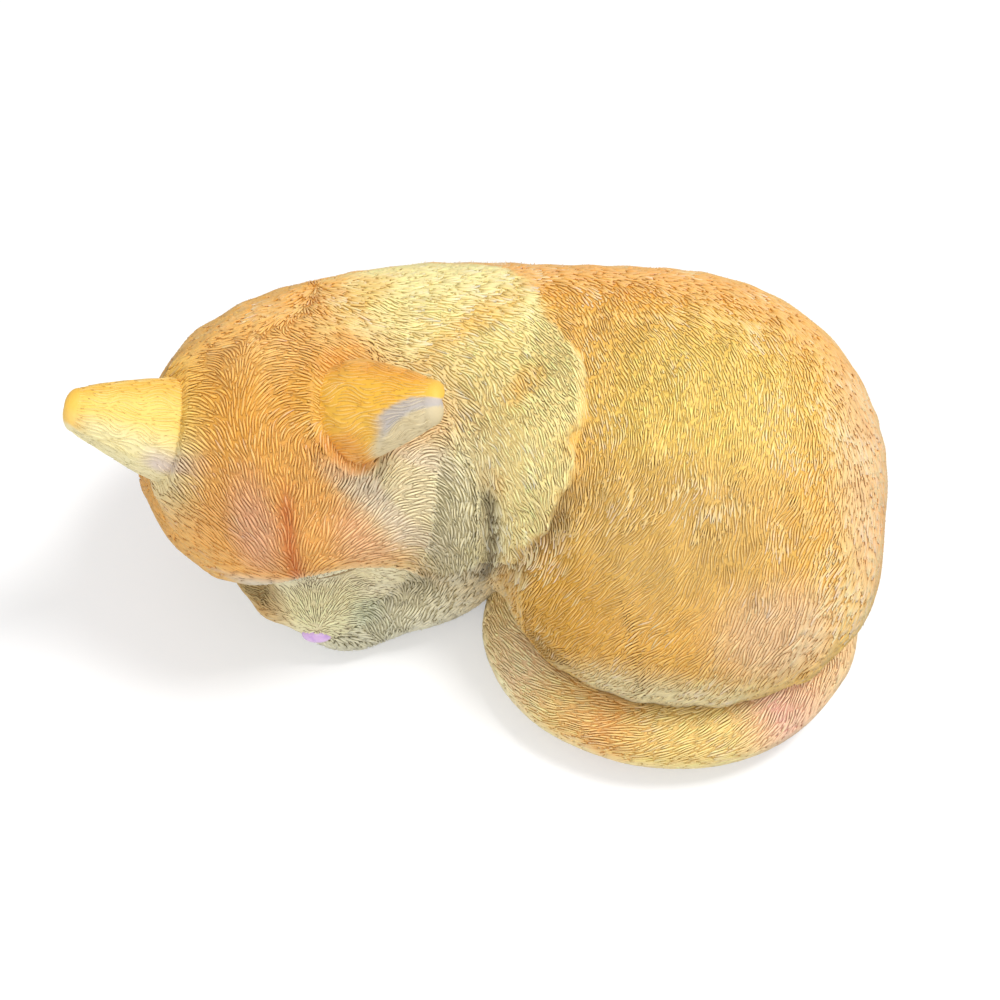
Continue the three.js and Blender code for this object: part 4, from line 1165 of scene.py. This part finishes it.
def earPaint(ear):  # the ear's coat runs into the head's at the root, with flesh in the cup
    def paint(p):
        root, along, across, back, length = earFrame(ear)
        inner = earBrush["inner"]
        q = intoHead(p)
        share = (q - root) @ along / length
        half, depth = earSection(share)
        front, out = (q - root) @ across / half, (q - root) @ back / depth
        low = between(share, earBrush["root"])[..., None]
        colour = earCoat(ear, q) * (1 - low) + coatPaint(p) * low
        flesh = between(np.hypot(front, out), inner["cup"]) * between(share, inner["share"])
        return over(colour, ear["inner"], flesh * inner["strength"])
    return paint


def earStrands(side, ear):  # short strands from the root to the tip, over the back of the ear
    length = earFrame(ear)[4]
    count = earFur["count"]
    long = dice.uniform(*earFur["length"], count)
    steps = np.linspace(0, 1, earFur["rings"] + 2)
    share = dice.uniform(*earFur["starts"], count)[:, None] + steps * long[:, None] / length
    share = np.minimum(share, earFur["furthest"])
    angle = dice.uniform(*earFur["round"], count)[:, None] * math.pi + 0 * steps

    def outer(s, a):  # on the ear's back at a share of its length and an angle round it
        half, depth = earSection(s)
        return earPlace(ear, s, half * np.cos(a), depth * np.sin(a))

    angle = angle + earFur["wave"] * ripple(outer(share, angle), earFur["waveSize"], earFur["seed"])
    path = outer(share, angle)
    turned, onward = earFur["nudge"]
    normals = unit(np.cross(outer(share, angle + turned) - path, outer(share - onward, angle) - path)) * -1
    path, normals = outOfHead(path), normals @ headTurn.T
    kept = spaced(path, normals, long, earFur, dice)
    path, normals = path[kept], normals[kept]
    coat = brushed(path, earPaint(ear), earFur, dice)
    room = roomBeside(path, normals, earFur)
    strands(side + "_ear_fur", path, normals, coat, earFur, room, gingerPaint)


for side, ear in ears.items():
    ring, ends = earGrid(ear)
    gridPiece(side + "_ear_cup", outOfHead(ring), outOfHead(ends), earPaint(ear), gingerPaint,
              [side + "_ear"], earShape["tone"])
    earStrands(side, ear)

# Nose: a glossy pad, narrower below, with two nostrils and a groove down its front
noseShape = dict(half=(5.2, 3, 2.3), pitch=15, narrow=0.35, rows=40, cols=64, nostril=0.9,
                 nostrilAt=(0.55, -0.75, -0.3), nostrilSize=(0.34, 0.5, 0.3), groove=0.45, grooveHalf=0.1,
                 grooveTop=0.6)
noseFinish = dict(dark="C9A2DC", light="DDB8E6", scale=420.0, detail=3.0, span=(0.35, 0.65),
                  rough=(0.18, 0.14), depth=0.00008, Coat_Weight=0.4)
noseLift = math.radians(noseShape["pitch"])
noseRay = np.array([[0, -math.cos(noseLift), math.sin(noseLift)]])
noseCentre = exitPoint(headOwnField, clay["muzzle"]["at"], noseRay)[0]


def noseForm(rays):  # an ellipsoid drawn in below, with the nostrils and the groove pushed into its front
    low, front = np.clip(-rays[..., 2], 0, 1), np.clip(-rays[..., 1], 0, 1)
    wide = np.stack([1 - noseShape["narrow"] * low, np.ones_like(low), np.ones_like(low)], -1)
    places = [np.array(noseShape["nostrilAt"]) * (way, 1, 1) for way in (-1, 1)]
    dent = sum(noseShape["nostril"] * daub(rays, at, noseShape["nostrilSize"]) for at in places)
    groove = np.exp(-(rays[..., 0] / noseShape["grooveHalf"]) ** 2)
    dent = dent + noseShape["groove"] * groove * front * ease(noseShape["grooveTop"] - rays[..., 2])
    return noseCentre + rays * (wide * np.array(noseShape["half"]) - dent[..., None])


noseRays = sphereRays(noseShape["rows"], noseShape["cols"])
noseGrid, ends = (outOfHead(noseForm(rays)) for rays in (noseRays, poles))
nosePaint = grainPaint("nose lacquer", **noseFinish)
gridPiece("nose_lacquer", noseGrid, ends, np.ones_like, nosePaint, ["nose_pad"], 1.0, flip=True)

# Closed lids and the line of the mouth, laid on the head
lineShape = dict(rings=10, width=1.2, lap=0.0, rise=0.6, sunk=0.5, tipLift=0.2, groove=0.6, coat="86683A")
lineRoutes = dict(
    leftLid=[(8, -32, 11), (12, -33, 8), (18, -32, 8), (23, -28, 10)],
    rightLid=[(-7, -33, 10), (-11, -34, 7), (-17, -33, 6), (-22, -29, 8)],
    leftMouth=[(0, -56, -13), (1, -55, -17), (6, -53, -20), (12, -48, -20)],
    rightMouth=[(0, -56, -13), (-1, -55, -17), (-6, -53, -20), (-12, -48, -20)],
)
routes = [throughPoints(route, lineShape["rings"] + 2) for route in lineRoutes.values()]
path, normals = settle(headForm, outOfHead(np.stack(routes)))
path, normals = settle(headForm, path)
strands("face_lines", path, normals, np.broadcast_to(tint(lineShape["coat"]), path.shape), lineShape,
        np.full((2, *path.shape[:2]), lineShape["width"] / 2), gingerPaint)

# Forelegs
legSkin = dict(rows=70, cols=110, offset=-0.45, tone=0.36, chart=(201, 401))
legFur = dict(tries=4.6, lowest=3.5, gap=0.46, overlap=0.3, rings=6, length=(1.3, 7), marks=4, cube=0.34,
              least=0.25, most=0.75, lap=0.0, rise=0.56, sunk=0.7, tipLift=1.4, groove=0, root=0.5, seed=9,
              swirl=12, swirlSize=40, wave=12, waveSize=9, sway=9, tone=0.07, pale=0.15, dry=0.6,
              patchSize=16, patchEdge=0.7, flecks=["F2EED2", "EAE6D8", "F0E8C6"])


def legPiece(side, field, lumps):  # a skin of rays from between two lumps, flat on its stand, and its strands
    core = sum(np.array(clay[lump]["at"], float) for lump in lumps) / len(lumps)
    skin, ends = raySkin(field, core, legSkin)
    for points in (skin, ends):
        points[..., 2] = np.maximum(points[..., 2], casting["stand"])
    gridPiece(side + "_foreleg_skin", skin, ends, coatPaint, creamPaint, [side + "_foreleg"],
              legSkin["tone"], flip=True)
    chart = Chart(field, core, *legSkin["chart"])
    seeds = scatter(chart.points, legFur["tries"], dice)
    seeds = seeds[(seeds[:, 2] > legFur["lowest"]) & clear(seeds, bodyForm, headForm)]
    ways = charted(chart, coatFlow)
    furred(side + "_foreleg_fur", chart, seeds, ways, coatPaint, legFur, creamPaint)


legPiece("left", leftLegForm, ["leftUpperArm", "leftForearm"])
legPiece("right", rightLegField, ["rightForearm", "rightPaw"])

# Tail
tailCoat = dict(
    bands=[(0.0, "F2C488"), (0.14, "F4CA98"), (0.24, "F2C0AC"), (0.33, "FCDC8A"), (0.43, "FCDA84"),
           (0.53, "FCC068"), (0.64, "FFD88A"), (0.76, "FFE4B8"), (0.88, "FAE0AC"), (1.0, "F6DC98")],
    creaseShade=dict(code="E4B460", strength=0.5, steep=1.2),
    hem=dict(code="F4F0D2", strength=0.8, start=0.25, steep=1.1, height=14, run=10),
)
tailFur = dict(tries=5.0, lowest=3.5, gap=0.4, overlap=0.3, rings=6, length=(1.4, 8), marks=4, cube=0.3,
               least=0.22, most=0.6, lap=0.06, rise=0.24, sunk=0.36, tipLift=0.8, groove=0.7, root=1.0,
               seed=13, swirl=7, swirlSize=40, wave=9, waveSize=8, sway=4, tone=0.06, pale=0.15, dry=0.6,
               patchSize=18, patchEdge=0.7, outward=0.35, down=0.4, skinTone=0.42,
               flecks=["FAECBC", "F8DEC0", "F6ECCA"])


def tailSurface(p):  # places on the tail and its outward ways
    return settle(tailField, p)


def tailAway(i):  # level way out of the haunch at places along the tail
    return unit(settle(haunchField, tailPath[i])[1] * (1, 1, 0))


def tailPaint(p):  # bands along the tail, with painted shade by the crease and paler along the table
    creaseShade, hem = tailCoat["creaseShade"], tailCoat["hem"]
    i = tailNearest(p)
    stops, codes = zip(*tailCoat["bands"])
    bands = np.array([tint(code) for code in codes])
    share = i / (tailShape["samples"] - 1)
    colour = np.stack([np.interp(share, stops, band) for band in bands.T], -1)
    away = (unit(p - tailPath[i]) * tailAway(i)).sum(-1)
    # painted shade on the side of the tail that faces into the crease against the haunch
    colour = laid(colour, creaseShade, np.clip(-away * creaseShade["steep"], 0, 1))
    low = np.clip((hem["height"] - p[:, 2]) / hem["run"], 0, 1)
    return laid(colour, hem, np.clip((away - hem["start"]) * hem["steep"], 0, 1) * low)


def tailFlow(p):  # along the tail to its tip, slanting out from the crease and down
    i = tailNearest(p)
    return tailAlong[i] + tailFur["outward"] * (tailAway(i) - (0, 0, tailFur["down"]))


u = np.arange(tailShape["sides"]) / tailShape["sides"] * 2 * math.pi
sideways = unit(np.cross((0, 0, 1.0), tailAlong))
upwards = np.cross(tailAlong, sideways)
capLean = np.radians(np.array(tailShape["capLean"]))
caps = tailPath[-1] + tailAlong[-1] * tailRadius[-1] * np.sin(capLean)[:, None]
middles = np.concatenate([tailPath, caps])
radii = np.concatenate([tailRadius, tailRadius[-1] * np.cos(capLean)])
sideways, upwards = (np.concatenate([x, np.repeat(x[-1:], len(capLean), 0)]) for x in (sideways, upwards))
spokes = sideways[:, None] * np.cos(u)[:, None] + upwards[:, None] * np.sin(u)[:, None]
radii = np.maximum(radii - tailShape["skin"], tailShape["leastSkin"])
tube = middles[:, None] + spokes * radii[:, None, None]
tube[..., 2] = np.maximum(tube[..., 2], casting["stand"])
ends = [tailPath[0], tailPath[-1] + tailAlong[-1] * (tailRadius[-1] - tailShape["tipIn"])]
gridPiece("tail_skin", tube, ends, tailPaint, gingerPaint, ["tail"], tailFur["skinTone"])
seeds = scatter(np.concatenate([tube, tube[:, :1]], 1), tailFur["tries"], dice)
seeds = seeds[(seeds[:, 2] > tailFur["lowest"]) & clear(seeds, bodyForm, leftLegForm)]
furred("tail_fur", tailSurface, seeds, tailFlow, tailPaint, tailFur, gingerPaint)

# Finishes of the pieces that stay as they were built
plateFinish = dict(dark="6E5A42", light="A08A68", fibre=(900.0, 4.0), cloud=(60.0, 2.0), cloudShare=0.3,
                   span=(0.35, 0.65), rough=(0.55, 0.25), depth=0.0002)
footFinish = dict(dark="232323", light="3A3938", scale=180.0, detail=3.0, span=(0.4, 0.75), rough=(0.7, 0.2),
                  depth=0.0001)  # dull black with a bloom in patches
dowelFinish = dict(dark="B08A5C", light="D8B888", scale=60.0, stretch=(15, 15, 1), detail=4.0,
                   span=(0.3, 0.7), rough=(0.5, 0.2), depth=0.0001)  # straight grain
pinFinish = dict(dark="8E9094", light="B4B6BA", scale=1500.0, detail=2.0, rough=(0.25, 0.2), depth=0.00003,
                 Metallic=1.0)  # bright metal with fine scratches


def boardPaint():  # pressed fibres: two sizes of speckle under a dull seal
    look = plateFinish
    finish = newPaint("sealed fibreboard")
    p = finish[1]
    fibre, cloud = p.noise(*look["fibre"]), p.noise(*look["cloud"])
    speckle = fibre * (1 - look["cloudShare"]) + cloud * look["cloudShare"]
    colour = speckle.ease(*look["span"]).mix(rgba(look["dark"]), rgba(look["light"]))
    least, more = look["rough"]
    return coated(finish, Base_Color=colour, Roughness=least + more * fibre, bump=(fibre, look["depth"]))


builtFinishes = dict(
    base_plate=boardPaint(), foot=grainPaint("foot rubber", **footFinish),
    neck_dowel=grainPaint("beech", **dowelFinish), pin=grainPaint("cut wire", **pinFinish),
)
for name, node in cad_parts.items():
    for word, finish in builtFinishes.items():
        if word in name:
            for socket in node.material_slots:
                socket.material = finish
print("built pieces finished")

# Stage, light and camera
stageLook = dict(target=(7, -4, 38), distance=480, elevation=58, lens=54, sensor=36, nearest=0.01,
                 floorHalf=6, floorGrey=0.7, floorGlow=0.32, worldLight=0.55, lampAim=(0, 0, 0.04))
softboxes = dict(
    key=dict(at=(0.5, 0.15, 1.0), size=0.3, power=7.2),
    fill=dict(at=(-0.3, -0.9, 0.8), size=0.9, power=6.0),
)
target = (np.array(stageLook["target"], float) - shift) / metre
lift = math.radians(stageLook["elevation"])
camera = bpy.data.objects.new("camera", bpy.data.cameras.new("camera"))
camera.data.lens, camera.data.sensor_width = stageLook["lens"], stageLook["sensor"]
camera.data.clip_start = stageLook["nearest"]
camera.location = target + np.array([0, -math.cos(lift), math.sin(lift)]) * stageLook["distance"] / metre
camera.rotation_euler = (math.pi / 2 - lift, 0, 0)
bpy.context.scene.collection.objects.link(camera)
bpy.context.scene.camera = camera

floorMesh = bpy.data.meshes.new("floor")
corners = np.array([(-1, -1, 0), (1, -1, 0), (1, 1, 0), (-1, 1, 0)]) * stageLook["floorHalf"]
floorMesh.from_pydata(corners.tolist(), [], [(0, 1, 2, 3)])
floor = bpy.data.objects.new("floor", floorMesh)
bpy.context.scene.collection.objects.link(floor)
material, p = newPaint("floor")
path = [p.node("LightPath", out=name) for name in ("Is Camera Ray", "Is Glossy Ray", "Is Transmission Ray")]
seen = path[0].maths("MAXIMUM", path[0], path[1].maths("MAXIMUM", path[1], path[2]))
matt = p.node("BsdfDiffuse", None, {"Color": (*[stageLook["floorGrey"]] * 3, 1)})
glow = p.node("Emission", None, {"Color": (1, 1, 1, 1), "Strength": seen * stageLook["floorGlow"]})
p.node("OutputMaterial", None, {"Surface": p.node("AddShader", None, {0: matt, 1: glow})})
floorMesh.materials.append(material)

world = bpy.data.worlds.new("studio")
world.use_nodes = True
sky = world.node_tree.nodes["Background"].inputs
sky["Color"].default_value, sky["Strength"].default_value = (1, 1, 1, 1), stageLook["worldLight"]
bpy.context.scene.world = world


def softbox(name, at, size, power):  # a square lamp at a place, turned to the lamps' aim
    lamp = bpy.data.lights.new(name, "AREA")
    lamp.size, lamp.energy = size, power
    holder = bpy.data.objects.new(name, lamp)
    holder.location = at
    holder.rotation_euler = (Vector(stageLook["lampAim"]) - Vector(at)).to_track_quat("-Z", "Y").to_euler()
    bpy.context.scene.collection.objects.link(holder)


for name, look in softboxes.items():
    softbox(name, **look)
bpy.context.scene.view_settings.view_transform = "Standard"
